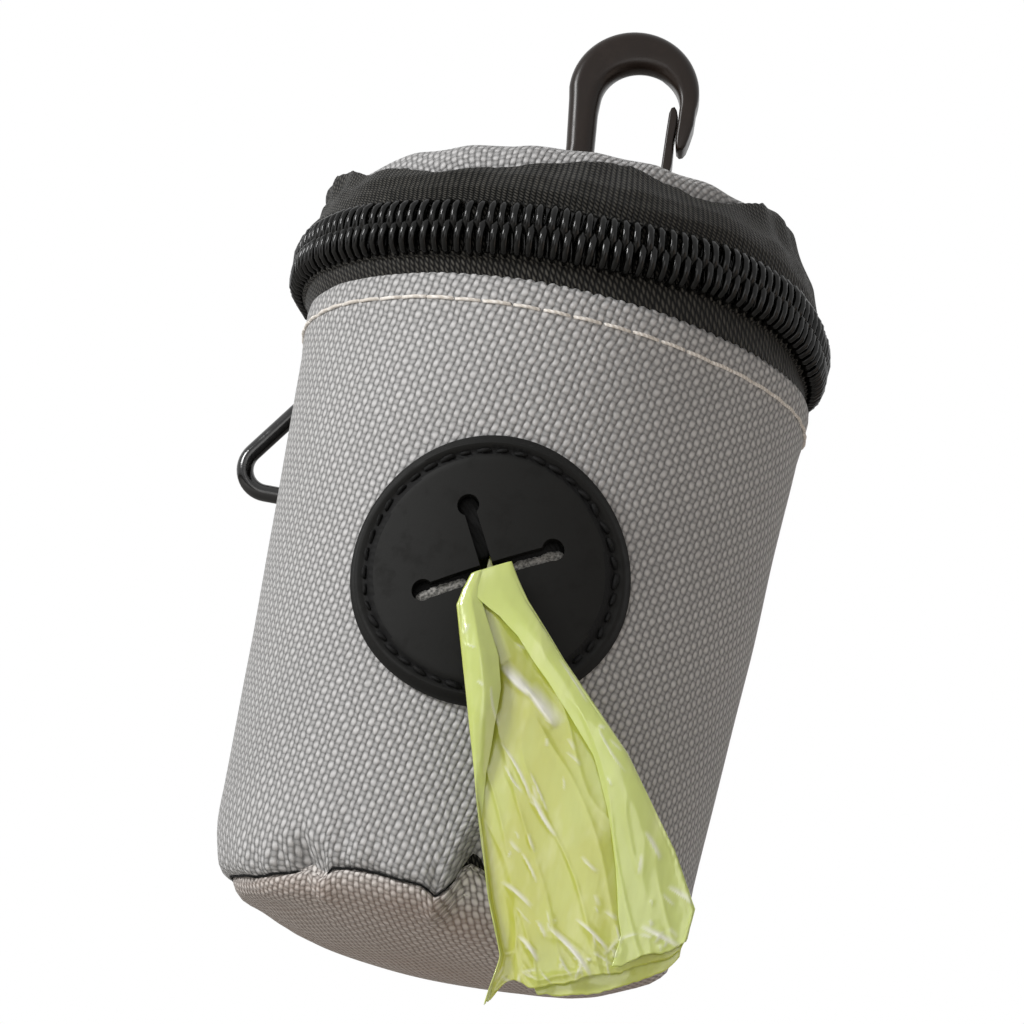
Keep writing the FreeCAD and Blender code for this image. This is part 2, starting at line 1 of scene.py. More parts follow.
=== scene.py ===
"""Looks of a hanging poop bag dispenser: a zipped woven pouch with a bag's tail coming out of its front."""
import logging
import math
from contextlib import contextmanager
from dataclasses import dataclass, field
from enum import Enum
from typing import Callable, Iterator, Sequence

import bmesh
import bpy
import numpy as np
from mathutils import Matrix, Vector, noise


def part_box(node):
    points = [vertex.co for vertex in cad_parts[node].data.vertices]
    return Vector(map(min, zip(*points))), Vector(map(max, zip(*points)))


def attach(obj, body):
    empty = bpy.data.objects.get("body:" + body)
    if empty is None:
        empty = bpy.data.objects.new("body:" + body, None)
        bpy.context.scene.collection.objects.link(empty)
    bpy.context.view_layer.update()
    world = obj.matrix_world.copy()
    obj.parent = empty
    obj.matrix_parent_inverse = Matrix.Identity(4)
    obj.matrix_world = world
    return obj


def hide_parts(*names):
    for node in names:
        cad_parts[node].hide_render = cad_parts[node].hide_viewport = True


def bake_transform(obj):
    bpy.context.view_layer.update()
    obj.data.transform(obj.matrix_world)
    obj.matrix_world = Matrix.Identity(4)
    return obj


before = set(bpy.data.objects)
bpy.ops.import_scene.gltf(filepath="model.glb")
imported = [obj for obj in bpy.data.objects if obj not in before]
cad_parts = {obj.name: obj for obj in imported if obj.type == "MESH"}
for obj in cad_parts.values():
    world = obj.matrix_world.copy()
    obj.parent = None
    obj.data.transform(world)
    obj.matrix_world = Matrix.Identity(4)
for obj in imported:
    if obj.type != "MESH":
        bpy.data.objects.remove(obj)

Pair = tuple[float, float]
Point = tuple[float, float, float]
Profile = Sequence[Pair]
Shaper = Callable[[float, float, float], Point]
Piece = bpy.types.Object
Socket = bpy.types.NodeSocket

logging.basicConfig(level=logging.INFO, format="%(message)s")
log = logging.getLogger("dispenser")

# Pieces are worked out in millimetres with heights counted from the base's lowest point, the front towards -Y and
# the pouch's axis at X = Y = 0. HANG then moves them to where the frame hangs from its hook.
METRE = 1000.0
WALL_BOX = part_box("outer_wall")
HANG = np.array([
    (WALL_BOX[0][0] + WALL_BOX[1][0]) * METRE / 2,
    (WALL_BOX[0][1] + WALL_BOX[1][1]) * METRE / 2,
    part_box("base_panel")[0][2] * METRE,
])
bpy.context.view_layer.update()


class Place(Enum):
    """Body that a piece moves with."""

    POUCH = "pouch"
    LID = "lid"
    SLIDER = "slider"
    PULL = "pull"
    ROLL = "roll"
    TAIL = "tail"
    SWIVEL = "swivel"
    HOOK = "hook"
    GATE = "gate"
    CLIP = "clip"
    LEVER = "clip_lever"


# ---- places and shapes of lines


def hung(x: float, y: float, z: float) -> Point:
    """A point given in the pouch's own millimetres, in the frame's metres."""
    return tuple(float(a + b) / METRE for a, b in zip((x, y, z), HANG))


def around(turn: float, radius: float, height: float) -> Point:
    """A point at an angle from the front, positive towards +X, in degrees.

    Args:
        turn: angle about the pouch's axis, from the front.
        radius: distance from the axis.
        height: height above the base.

    Returns:
        The point in the pouch's millimetres.
    """
    angle = math.radians(turn)
    return radius * math.sin(angle), -radius * math.cos(angle), height


def turned(x: float, z: float, angle: float) -> Pair:
    """A place in the front plane, turned about its origin by an angle in radians."""
    return x * math.cos(angle) - z * math.sin(angle), x * math.sin(angle) + z * math.cos(angle)


def smooth_step(value: float) -> float:
    """Ease from 0 to 1 as value goes from 0 to 1."""
    value = min(1.0, max(0.0, value))
    return value * value * (3 - 2 * value)


def rise(value: float, start: float, length: float) -> float:
    """Ease from 0 at the start to 1 a length after it."""
    return smooth_step((value - start) / length)


def fall(value: float, end: float, length: float) -> float:
    """Ease from 1 a length before the end to 0 at the end."""
    return smooth_step((end - value) / length)


def bump(value: float, centre: float, width: float) -> float:
    """A smooth bump of height 1 at centre that fades out over width."""
    return math.exp(-((value - centre) / width) ** 2)


def turn_gap(turn: float, centre: float) -> float:
    """Signed difference of two angles in degrees, from -180 to 180."""
    return (turn - centre + 180) % 360 - 180


def near(turn: float, centre: float, width: float) -> float:
    """A smooth bump of height 1 at an angle from the front, all in degrees."""
    return bump(turn_gap(turn, centre), 0, width)


def rough(x: float, y: float, z: float = 0.0) -> float:
    """Smooth seedless noise from -1 to 1 at a point."""
    return noise.noise(Vector((x, y, z)))


def rough_round(turn: float, cycles: float, z: float, shift: float = 0.0) -> float:
    """Smooth noise that closes on itself round the axis, finer with more cycles."""
    angle = math.radians(turn)
    return rough(cycles * math.sin(angle) + shift, cycles * math.cos(angle), z)


def read(line: Profile, at: float) -> float:
    """The value at a place on a line of (place, value) pairs."""
    return float(np.interp(at, *zip(*line)))


# ---- meshes

CLOTH_RADIUS = 26.0  # radius at which an angle becomes a length on the flat cloth
WHOLE_TURN = 359.9  # degrees past which a lathed piece closes on itself
SHARP = 40.0  # degrees past which an edge of a CAD node counts as sharp
SHARP_ROUNDED = 50.0  # the same, once its edges are rounded


def linked(name: str, data: bpy.types.ID) -> Piece:
    """A new object in the scene that shows a mesh, a lamp or a camera."""
    piece = bpy.data.objects.new(name, data)
    bpy.context.scene.collection.objects.link(piece)
    return piece


@contextmanager
def editing(piece: Piece) -> Iterator[bmesh.types.BMesh]:
    """Open a piece's mesh for editing, and write it back at the end."""
    work = bmesh.new()
    work.from_mesh(piece.data)
    yield work
    work.to_mesh(piece.data)
    work.free()


def mesh_piece(name: str, points: Sequence[Point], faces: Sequence[Sequence[int]],
               flat: Profile | None = None, smooth: bool = True) -> Piece:
    """Make a mesh object from points in the pouch's millimetres.

    Args:
        name: the piece's name.
        points: vertices in millimetres.
        faces: vertex indices of each face.
        flat: each vertex's place on the flat cloth in millimetres, written as its UV.
        smooth: whether its faces are shaded smooth.

    Returns:
        The new object, with its place in its mesh.
    """
    mesh = bpy.data.meshes.new(name)
    placed = (np.asarray(points, float) + HANG) / METRE
    mesh.from_pydata(placed.tolist(), [], [list(face) for face in faces])
    if flat is not None:
        layer = mesh.uv_layers.new(name="cloth")
        corners = np.empty(len(mesh.loops), int)
        mesh.loops.foreach_get("vertex_index", corners)
        layer.data.foreach_set("uv", np.asarray(flat, float)[corners].ravel())
    mesh.polygons.foreach_set("use_smooth", [smooth] * len(mesh.polygons))
    mesh.update()
    return linked(name, mesh)


def grid_faces(rows: int, columns: int, wrap_rows: bool = False, wrap_columns: bool = False,
               capped: bool = False) -> list[list[int]]:
    """Quads of a grid of vertices that is numbered row by row.

    Args:
        rows: number of rows.
        columns: number of vertices in a row.
        wrap_rows: whether the last row joins the first.
        wrap_columns: whether the last column joins the first.
        capped: whether a face closes each end row.

    Returns:
        The list of faces.
    """
    faces = []
    for i in range(rows if wrap_rows else rows - 1):
        for j in range(columns if wrap_columns else columns - 1):
            after, across = (i + 1) % rows, (j + 1) % columns
            faces.append([i * columns + j, i * columns + across, after * columns + across, after * columns + j])
    if capped:
        faces += [list(range(columns)), [(rows - 1) * columns + j for j in range(columns)]]
    return faces


def walk(profile: Profile, step: float) -> list[Point]:
    """Points along a profile no further apart than step.

    Args:
        profile: corners of the profile.
        step: largest spacing in millimetres.

    Returns:
        (radius, height, length along the profile) of each point.
    """
    found = [(profile[0][0], profile[0][1], 0.0)]
    for (r0, z0), (r1, z1) in zip(profile, profile[1:]):
        length = math.hypot(r1 - r0, z1 - z0)
        count = max(1, math.ceil(length / step))
        start = found[-1][2]
        found += [(r0 + (r1 - r0) * k / count, z0 + (z1 - z0) * k / count, start + length * k / count)
                  for k in range(1, count + 1)]
    return found


def lathe(name: str, profile: Profile, step: float, turns: int, shape: Shaper | None = None,
          span: Pair = (-180.0, 180.0), closed: bool = True, level: bool = False) -> Piece:
    """Turn a profile round the pouch's axis, then let a function push each point about.

    Args:
        name: the piece's name.
        profile: (radius, height) corners, in order; a radius of 0 makes a pole.
        step: largest spacing along the profile.
        turns: number of steps round the whole axis or the span.
        shape: maps (turn, radius, height) to the new ones.
        span: first and last angle from the front, in degrees.
        closed: whether the profile's last point joins its first.
        level: whether its cloth was cut as a flat disc, so that its threads run straight across.

    Returns:
        The finished object with outward normals.
    """
    line = walk(list(profile) + ([profile[0]] if closed else []), step)
    if closed:
        line = line[:-1]
    whole = span[1] - span[0] > WHOLE_TURN
    count = turns if whole else turns + 1
    points, flat = [], []
    for radius, height, run in line:
        for j in range(count):
            turn = span[0] + (span[1] - span[0]) * j / turns
            points.append(around(*(shape(turn, radius, height) if shape else (turn, radius, height))))
            flat.append(around(turn, run, 0)[:2] if level else (math.radians(turn) * CLOTH_RADIUS, run))
    faces = grid_faces(len(line), count, wrap_rows=closed, wrap_columns=whole)
    piece = mesh_piece(name, points, faces, flat)
    if not level:
        wrap_flat(piece, math.tau * CLOTH_RADIUS)
    if not whole and closed:
        fill_ends(piece, len(line), count)
    tidy(piece)
    return piece


def wrap_flat(piece: Piece, around_length: float) -> None:
    """Carry the flat cloth's place over the seam of a whole turn, so that no face spans the cloth backwards.

    Args:
        piece: the lathed object.
        around_length: length of a whole turn on the flat cloth.
    """
    layer = piece.data.uv_layers["cloth"].data
    for polygon in piece.data.polygons:
        across = [layer[i].uv[0] for i in polygon.loop_indices]
        if max(across) - min(across) > around_length / 2:
            for i in polygon.loop_indices:
                if layer[i].uv[0] < 0:
                    layer[i].uv[0] += around_length


def fill_ends(piece: Piece, rows: int, columns: int) -> None:
    """Close the two open ends of a profile that was turned through part of a circle.

    Args:
        piece: the lathed object.
        rows: number of points in its profile.
        columns: number of points along its arc.
    """
    with editing(piece) as work:
        work.verts.ensure_lookup_table()
        for column in (0, columns - 1):
            work.faces.new([work.verts[i * columns + column] for i in range(rows)])


def tidy(piece: Piece, merge: float = 1e-7) -> None:
    """Merge doubles, drop faces without area and point the faces outwards.

    Args:
        piece: the object.
        merge: distance in metres under which vertices merge.
    """
    with editing(piece) as work:
        bmesh.ops.remove_doubles(work, verts=work.verts, dist=merge)
        bmesh.ops.dissolve_degenerate(work, edges=work.edges, dist=merge)
        bmesh.ops.recalc_face_normals(work, faces=work.faces)


def copy_node(name: str, node: str, bevel: float = 0.0) -> Piece:
    """A merged copy of a CAD node's mesh, with its edges rounded.

    Args:
        name: the new piece's name.
        node: the CAD node.
        bevel: radius of the rounding in millimetres.

    Returns:
        The new object.
    """
    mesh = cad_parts[node].data.copy()
    mesh.name = name
    mesh.materials.clear()
    piece = linked(name, mesh)
    tidy(piece, 2e-6)
    if bevel:
        round_edges(piece, bevel, SHARP)
    else:
        shade(piece, SHARP)
    return piece


def shade(piece: Piece, angle: float) -> None:
    """Shade smooth, with edges over an angle kept sharp.

    Args:
        piece: the object.
        angle: smallest angle between faces that stays sharp, in degrees.
    """
    with editing(piece) as work:
        for edge in work.edges:
            edge.smooth = edge.calc_face_angle(0.0) < math.radians(angle)
        for face in work.faces:
            face.smooth = True


def round_edges(piece: Piece, radius: float, angle: float) -> None:
    """Bevel the edges over an angle and apply it to the mesh.

    Args:
        piece: the object.
        radius: width of the bevel in millimetres.
        angle: smallest angle that is rounded, in degrees.
    """
    with editing(piece) as work:
        bmesh.ops.dissolve_limit(work, angle_limit=math.radians(1), verts=work.verts, edges=work.edges)
    add_modifier(piece, "BEVEL", width=radius / METRE, segments=3, limit_method="ANGLE",
                 angle_limit=math.radians(angle), harden_normals=False)
    shade(piece, SHARP_ROUNDED)


def add_modifier(piece: Piece, kind: str, **values: object) -> None:
    """Change a piece's mesh with one modifier, and leave it a plain mesh.

    Args:
        piece: the object.
        kind: the modifier's type.
        values: its settings.
    """
    added = piece.modifiers.new(kind.lower(), kind)
    for key, value in values.items():
        setattr(added, key, value)
    apply_modifiers(piece)


def apply_modifiers(piece: Piece) -> None:
    """Turn a piece's modifiers into its plain mesh and remove them."""
    bpy.context.view_layer.update()
    graph = bpy.context.evaluated_depsgraph_get()
    mesh = bpy.data.meshes.new_from_object(piece.evaluated_get(graph), preserve_all_data_layers=True, depsgraph=graph)
    piece.modifiers.clear()
    old, piece.data = piece.data, mesh
    bpy.data.meshes.remove(old)
    mesh.name = piece.name


def cut_away(piece: Piece, cutter: Piece) -> None:
    """Cut one closed mesh out of another and remove the cutter."""
    add_modifier(piece, "BOOLEAN", object=cutter, operation="DIFFERENCE", solver="EXACT", material_mode="INDEX")
    bpy.data.objects.remove(cutter)


def post(outline: Profile, front: float, back: float, material: int) -> Piece:
    """A closed prism with an outline seen from the front.

    Args:
        outline: (x, z) corners in millimetres.
        front: its front face's Y.
        back: its back face's Y.
        material: number of the material that its faces have.

    Returns:
        The prism.
    """
    count = len(outline)
    points = [(x, y, z) for y in (front, back) for x, z in outline]
    faces = [list(range(count)), list(range(2 * count - 1, count - 1, -1))]
    faces += [[k, (k + 1) % count, count + (k + 1) % count, count + k] for k in range(count)]
    prism = mesh_piece("cutter", points, faces, smooth=False)
    tidy(prism)
    for polygon in prism.data.polygons:
        polygon.material_index = material
    return prism


def disc_outline(radius: float, centre: Pair, count: int = 48) -> list[Pair]:
    """Corners of a circle seen from the front."""
    return [(centre[0] + radius * math.cos(math.tau * k / count), centre[1] + radius * math.sin(math.tau * k / count))
            for k in range(count)]


def tube_unit(name: str, path: Sequence[Point], radii: Sequence[float], sides: int = 6,
              flatten: float = 1.0) -> Piece:
    """A short closed tube along a path in a unit's own millimetres.

    Args:
        name: the unit's name.
        path: centres of its rings, with X along the row, Y across it and Z out of the surface.
        radii: radius at each ring.
        sides: number of sides.
        flatten: share of the radius that is kept along X.

    Returns:
        The unit, in metres round the origin.
    """
    points, last = [], len(path) - 1
    for k, centre in enumerate(path):
        ahead = Vector(path[min(k + 1, last)]) - Vector(path[max(k - 1, 0)])
        side = Vector((0.0, 1.0, 0.0) if abs(ahead.normalized().x) > 0.8 else (1.0, 0.0, 0.0))
        over = ahead.cross(side).normalized()
        side = over.cross(ahead).normalized()
        for j in range(sides):
            angle = math.tau * j / sides
            reach = side * math.cos(angle) * flatten + over * math.sin(angle)
            points.append(tuple((Vector(centre) + reach * radii[k]) / METRE))
    mesh = bpy.data.meshes.new(name)
    mesh.from_pydata(points, [], grid_faces(len(path), sides, wrap_columns=True, capped=True))
    unit = linked(name, mesh)
    tidy(unit, 1e-8)
    for polygon in unit.data.polygons:
        polygon.use_smooth = len(polygon.vertices) == 4
    return unit


def stitch_unit(name: str, half: float, lifts: Pair, thick: Point, lean: float = 0.0, sink: float = -0.2,
                shoulder: float = 0.8) -> Piece:
    """One stitch: a short bowed length of thread whose ends go down into the cloth.

    Args:
        name: the unit's name.
        half: half its length.
        lifts: heights of its shoulders and its crown.
        thick: radii at its ends, its shoulders and its crown.
        lean: how far its crown lies aside.
        sink: depth of its ends.
        shoulder: share of the half length at which it turns down.

    Returns:
        The unit.
    """
    bend = half * shoulder
    path = [(-half, 0, sink), (-bend, 0, lifts[0]), (0, lean, lifts[1]), (bend, 0, lifts[0]), (half, 0, sink)]
    ends, shoulders, crown = thick
    return tube_unit(name, path, [ends, shoulders, crown, shoulders, ends])


# ---- finishes


class Tree:
    """A node tree, with short calls that add and feed its nodes."""

    def __init__(self, tree: bpy.types.NodeTree) -> None:
        """Hold the tree."""
        self.tree = tree

    def node(self, kind: str, *feeds: tuple[object, object], **values: object) -> bpy.types.Node:
        """Add a node, set its properties, then feed its inputs.

        Args:
            kind: the node's type.
            feeds: pairs of an input's number or name and what it is fed with.
            values: the node's properties.

        Returns:
            The node.
        """
        made = self.tree.nodes.new(kind)
        for key, value in values.items():
            setattr(made, key, value)
        for key, value in feeds:
            named = isinstance(key, str)
            self.feed(next(s for s in made.inputs if s.name == key and s.enabled) if named else made.inputs[key], value)
        return made

    def feed(self, socket: Socket, value: object) -> None:
        """Set a socket to a value, or link another node's output to it."""
        value = value.socket if isinstance(value, Signal) else value
        if isinstance(value, Socket):
            self.tree.links.new(value, socket)
        else:
            socket.default_value = value


class Signal:
    """An output of a material's node that takes arithmetic, so that a finish reads as a formula."""

    def __init__(self, shading: "Shading", socket: Socket) -> None:
        """Hold an output and the shading that it belongs to."""
        self.shading, self.socket = shading, socket

    def __add__(self, other: object) -> "Signal":
        """This and the other, added."""
        return self.shading.math("ADD", self, other)

    def __sub__(self, other: object) -> "Signal":
        """This less the other."""
        return self.shading.math("SUBTRACT", self, other)

    def __rsub__(self, other: object) -> "Signal":
        """The other less this."""
        return self.shading.math("SUBTRACT", other, self)

    def __mul__(self, other: object) -> "Signal":
        """This times the other."""
        return self.shading.math("MULTIPLY", self, other)

    def __truediv__(self, other: object) -> "Signal":
        """This divided by the other."""
        return self.shading.math("DIVIDE", self, other)


class Shading(Tree):
    """One material's node tree, with the nodes that the finishes are made of."""

    def __init__(self, name: str) -> None:
        """Start a material with a Principled shader, under a name."""
        self.material = bpy.data.materials.new(name)
        self.material.use_nodes = True
        super().__init__(self.material.node_tree)

    def signal(self, kind: str, *feeds: tuple[object, object], out: object = 0, **values: object) -> Signal:
        """Add a node and return one of its outputs, the first unless another is named."""
        return Signal(self, self.node(kind, *feeds, **values).outputs[out])

    def math(self, operation: str, first: object, second: object = 0.0) -> Signal:
        """The result of a Math node."""
        return self.signal("ShaderNodeMath", (0, first), (1, second), operation=operation)

    def ease(self, value: object, low: float, high: float, start: float = 0.0, end: float = 1.0) -> Signal:
        """A value eased from start to end as the input goes from low to high."""
        return self.signal("ShaderNodeMapRange", (0, value), (1, low), (2, high), (3, start), (4, end),
                           interpolation_type="SMOOTHSTEP")

    def mix(self, share: object, first: object, second: object) -> Signal:
        """Two colours mixed by a share."""
        return self.signal("ShaderNodeMix", (0, share), (6, colour(first)), (7, colour(second)), out=2,
                           data_type="RGBA")

    def cloth(self) -> Signal:
        """The piece's place on the flat cloth, in millimetres."""
        return self.signal("ShaderNodeUVMap", uv_map="cloth")

    def place(self) -> Signal:
        """The point's place in the frame, in metres."""
        return self.signal("ShaderNodeTexCoord", out="Object")

    def attribute(self, name: str) -> Signal:
        """A number that the mesh holds at each point."""
        return self.signal("ShaderNodeAttribute", out="Fac", attribute_name=name)

    def scaled(self, vector: Signal, scale: Point, turn: float = 0.0) -> Signal:
        """A vector stretched along each axis and turned about Z by an angle in radians."""
        return self.signal("ShaderNodeMapping", (0, vector), ("Scale", scale), ("Rotation", (0, 0, turn)))

    def parts(self, vector: Signal) -> list[Signal]:
        """The X, Y and Z of a vector."""
        return [Signal(self, socket) for socket in self.node("ShaderNodeSeparateXYZ", (0, vector)).outputs]

    def noise(self, vector: Signal, scale: float, detail: float = 2.0, rough_share: float = 0.5,
              stretch: Point | None = None) -> Signal:
        """Noise from 0 to 1 over a vector.

        Args:
            vector: where the noise is read.
            scale: its fineness.
            detail: number of finer layers.
            rough_share: weight of the finer layers.
            stretch: scale of each axis before the noise.

        Returns:
            The noise's value.
        """
        return self.signal("ShaderNodeTexNoise", ("Vector", self.scaled(vector, stretch) if stretch else vector),
                           ("Scale", scale), ("Detail", detail), ("Roughness", rough_share), out="Fac")

    def bump(self, height: Signal, depth: float) -> Signal:
        """A relief's normal, where a height of 1 stands depth millimetres high."""
        return self.signal("ShaderNodeBump", ("Strength", 1.0), ("Distance", depth / METRE), ("Height", height))

    def surface(self, **values: object) -> bpy.types.Material:
        """Set the Principled shader's sockets, with underscores for spaces, and return the material."""
        shader = self.tree.nodes["Principled BSDF"]
        for key, value in values.items():
            self.feed(shader.inputs[key.replace("_", " ")], value)
        return self.material


def colour(value: object) -> object:
    """A colour's signal as it is, or a display hex number such as 0x8F8F92 as scene-linear RGBA."""
    if not isinstance(value, int):
        return value
    shares = [((value >> shift) & 255) / 255 for shift in (16, 8, 0)]
    return (*[s / 12.92 if s <= 0.04045 else ((s + 0.055) / 1.055) ** 2.4 for s in shares], 1.0)


@dataclass(frozen=True)
class Recipe:
    """What every finish has.

    Args:
        name: the material's name.
        slot: the record's material slot that it is meant for; not used.
    """

    name: str
    slot: str

    def make(self) -> bpy.types.Material:
        """Build the material."""
        raise NotImplementedError


@dataclass(frozen=True)
class Woven(Recipe):
    """Plain weave of round yarns, read from the flat cloth's millimetres.

    Args:
        high: colour of a yarn's crown, lighter as a painted highlight.
        low: colour in the crossings between yarns, darker as painted shade.
        pitch: width of one yarn in millimetres.
        relief: height of the weave in millimetres.
        shed: share of the relief that comes from yarns passing over and under.
        warp_lift: how much further the upright yarns stand out than the level ones.
        slim: how much slimmer a yarn is than its pitch, from 1 where it fills it.
        slant: turn of the weave on the cloth, in degrees.
        painted_warm_shade: colour of painted warm shade, a reflected brown tint that darkens the cloth near the bottom.
        painted_warm_shade_share: how strong the painted warm shade is.
        painted_warm_shade_top: height in the frame, in millimetres, under which the painted warm shade sets in.
    """

    high: int
    low: int
    pitch: float = 0.69
    relief: float = 0.22
    shed: float = 0.5
    warp_lift: float = 0.52
    slim: float = 1.35
    slant: float = 12.0
    painted_warm_shade: int = 0x7A6A60
    painted_warm_shade_share: float = 0.0
    painted_warm_shade_top: float = 0.0

    def make(self) -> bpy.types.Material:
        """Build the material."""
        s = Shading(self.name)
        weave = s.scaled(s.cloth(), (1 / self.pitch, 1 / self.pitch, 1), math.radians(self.slant))
        place = s.place()
        wander, jog = s.noise(weave, 0.3, 2), s.noise(weave, 1.3, 1)
        across, along, _ = s.parts(weave)
        across, along = across + (wander * 0.9 + jog * 0.12), along + (wander * 0.7 + jog * 0.16)
        height = s.math("MAXIMUM", self.yarn(s, across, along, 1.0), self.yarn(s, along, across, -1.0) - self.warp_lift)
        fibre = s.noise(weave, 4.0, 2, 0.6, (2.2, 0.8, 1.0))
        # Painted highlight and shade: the yarns' crowns are lighter and the crossings darker, following the relief's
        # height.
        tone = s.mix(s.ease(height + fibre * 0.3, 0.15, 1.25), self.low, self.high)
        dull = s.ease(s.noise(weave, 0.9, 1), 0.35, 0.65) * 0.14
        tone = s.mix(dull + s.ease(s.noise(place, 90, 3), 0.35, 0.75) * 0.12, tone, self.low)
        # Painted warm shade: in patches, the cloth turns darker and browner towards the bottom, as a reflected brown
        # tint.
        if self.painted_warm_shade_share:
            top, fade = self.painted_warm_shade_top / METRE, 0.003
            down = s.ease(s.parts(place)[2], top, top - fade)
            patchy = s.ease(s.noise(place, 38, 2), 0.25, 0.7, 0.45, 1.0)
            tone = s.mix(down * self.painted_warm_shade_share * patchy, tone, self.painted_warm_shade)
        return s.surface(Base_Color=tone, Roughness=0.62, Sheen_Weight=0.15, Sheen_Roughness=0.4,
                         Specular_IOR_Level=0.3, Normal=s.bump(height + fibre * 0.16, self.relief))

    def yarn(self, s: Shading, across: Signal, along: Signal, side: float) -> Signal:
        """Height of one set of yarns.

        Args:
            s: the shading it is built in.
            across: cloth place across the yarns, in yarn widths.
            along: cloth place along them, in yarn widths.
            side: 1 for the warp, -1 for the weft, which pass each other.

        Returns:
            The height, where the crown of a yarn is about 1.
        """
        parity = s.math("COSINE", s.math("FLOOR", across) * math.pi)
        passing = parity * s.math("SINE", along * math.pi) * (self.shed * side)
        middle = s.math("FRACT", across) * 2.0 - 1.0
        return passing + s.math("SQRT", s.math("MAXIMUM", 1.0 - middle * middle * self.slim, 0.0)) * 0.62


@dataclass(frozen=True)
class Twilled(Recipe):
    """Fine ribbed tape: rows of short slanted floats, as on zip tape and narrow webbing.

    Args:
        high: colour of a float's crown, lighter as a painted highlight.
        low: colour between the floats, darker as painted shade.
        across: width of one rib in millimetres.
        along: length of one float in millimetres.
        herringbone: whether every other rib slants the other way.
    """

    high: int
    low: int
    across: float = 0.56
    along: float = 0.62
    herringbone: bool = False

    def make(self) -> bpy.types.Material:
        """Build the material."""
        s = Shading(self.name)
        u, v, _ = s.parts(s.cloth())
        rib = u / self.across
        step = s.math("FLOOR", rib)
        slope = s.math("PINGPONG", step, 1.0) * 2.0 if self.herringbone else 1.0
        floats = v / self.along + (step * 0.5 + (s.math("FRACT", rib) - 0.5) * slope)
        crown = s.math("ABSOLUTE", s.math("SINE", rib * math.pi))
        knob = s.math("ABSOLUTE", s.math("SINE", floats * math.pi))
        height = s.math("SQRT", crown) * (knob * 0.7 + 0.3)
        lint = s.noise(s.place(), 1400, 3, 0.65)
        # Painted shade and highlight: darker between the floats, lighter on their crowns, following the relief's
        # height; the lint adds specks.
        tone = s.mix(s.ease(height + lint * 0.7, 0.8, 1.55), self.low, self.high)
        return s.surface(Base_Color=tone, Roughness=0.55, Sheen_Weight=0.05, Sheen_Roughness=0.45,
                         Specular_IOR_Level=0.12, Normal=s.bump(height, 0.14))


@dataclass(frozen=True)
class Moulded(Recipe):
    """Moulded plastic, painted metal or rubber, with a fine grain, scuffs and a soft colour drift.

    Args:
        tone: its colour.
        worn: colour where it is handled.
        shine: roughness where it is clean.
        dull: roughness where it is scuffed.
        grain: size of the surface grain in millimetres.
        relief: height of the grain in millimetres.
        coat: weight of a clear coat.
        gleam: strength of its mirror-like light.
    """

    tone: int
    worn: int
    shine: float
    dull: float
    grain: float = 0.25
    relief: float = 0.01
    coat: float = 0.0
    gleam: float = 0.3

    def make(self) -> bpy.types.Material:
        """Build the material."""
        s = Shading(self.name)
        place = s.place()
        grain = s.noise(place, METRE / self.grain, 2, 0.6)
        scuff = s.ease(s.noise(place, 420, 4, 0.7), 0.45, 0.72)
        cloud = s.ease(s.noise(place, 120, 2), 0.3, 0.7)
        tone = s.mix((cloud * 0.6 + scuff * 0.4) * 0.5, self.tone, self.worn)
        return s.surface(Base_Color=tone, Roughness=s.ease(scuff, 0.0, 1.0, self.shine, self.dull),
                         Specular_IOR_Level=self.gleam, Coat_Weight=self.coat, Coat_Roughness=0.12,
                         Normal=s.bump(grain, self.relief))


@dataclass(frozen=True)
class Thread(Recipe):
    """Sewing thread with the turns of its plies and loose fuzz.

    Args:
        tone: its colour.
        deep: colour between the plies, darker as painted shade.
    """

    tone: int
    deep: int

    def make(self) -> bpy.types.Material:
        """Build the material."""
        s = Shading(self.name)
        ply = s.signal("ShaderNodeTexWave", ("Vector", s.place()), ("Scale", 900), ("Distortion", 1.5), out="Fac",
                       wave_type="BANDS", bands_direction="DIAGONAL")
        fuzz = s.ease(s.noise(s.place(), 2600, 2), 0.2, 0.7)
        # Painted shade between the plies: the colour darkens along the same bands as the relief.
        return s.surface(Base_Color=s.mix(ply * fuzz, self.deep, self.tone), Roughness=0.75, Specular_IOR_Level=0.2,
                         Normal=s.bump(ply, 0.03))


@dataclass(frozen=True)
class Film(Recipe):
    """Thin glossy bag film with a clouded colour and fine creases.

    Args:
        tone: its colour in one layer.
        deep: its colour where layers or shade build up.
        pale: its colour where light scatters in it.
        white: colour of the painted highlight along a sharp crease.
    """

    tone: int
    deep: int
    pale: int
    white: int

    def make(self) -> bpy.types.Material:
        """Build the material."""
        s = Shading(self.name)
        place = s.place()
        cloud = s.ease(s.noise(place, 95, 3, 0.55, (1.6, 1.0, 0.7)), 0.3, 0.7, 0.0, 0.6)
        light = s.ease(s.noise(place, 170, 3, 0.6, (1.8, 1.0, 0.6)), 0.5, 0.8, 0.0, 0.5)
        deep = (1.0 - s.attribute("layers") * 0.9) * (cloud + 0.45)
        tone = s.mix(light, s.mix(deep, self.tone, self.deep), self.pale)
        # Painted highlight: the film turns near white along the sharp creases.
        tone = s.mix(s.attribute("crease") * 0.85, tone, self.white)
        fine = s.noise(place, 240, 2, 0.5, (2.2, 1.0, 0.7))
        return s.surface(Base_Color=tone, Roughness=0.24, Specular_IOR_Level=0.55, Subsurface_Weight=0.25,
                         Subsurface_Scale=0.0012, Subsurface_Radius=(0.8, 1.0, 0.3), Coat_Weight=0.5,
                         Coat_Roughness=0.05, Normal=s.bump(fine, 0.12))


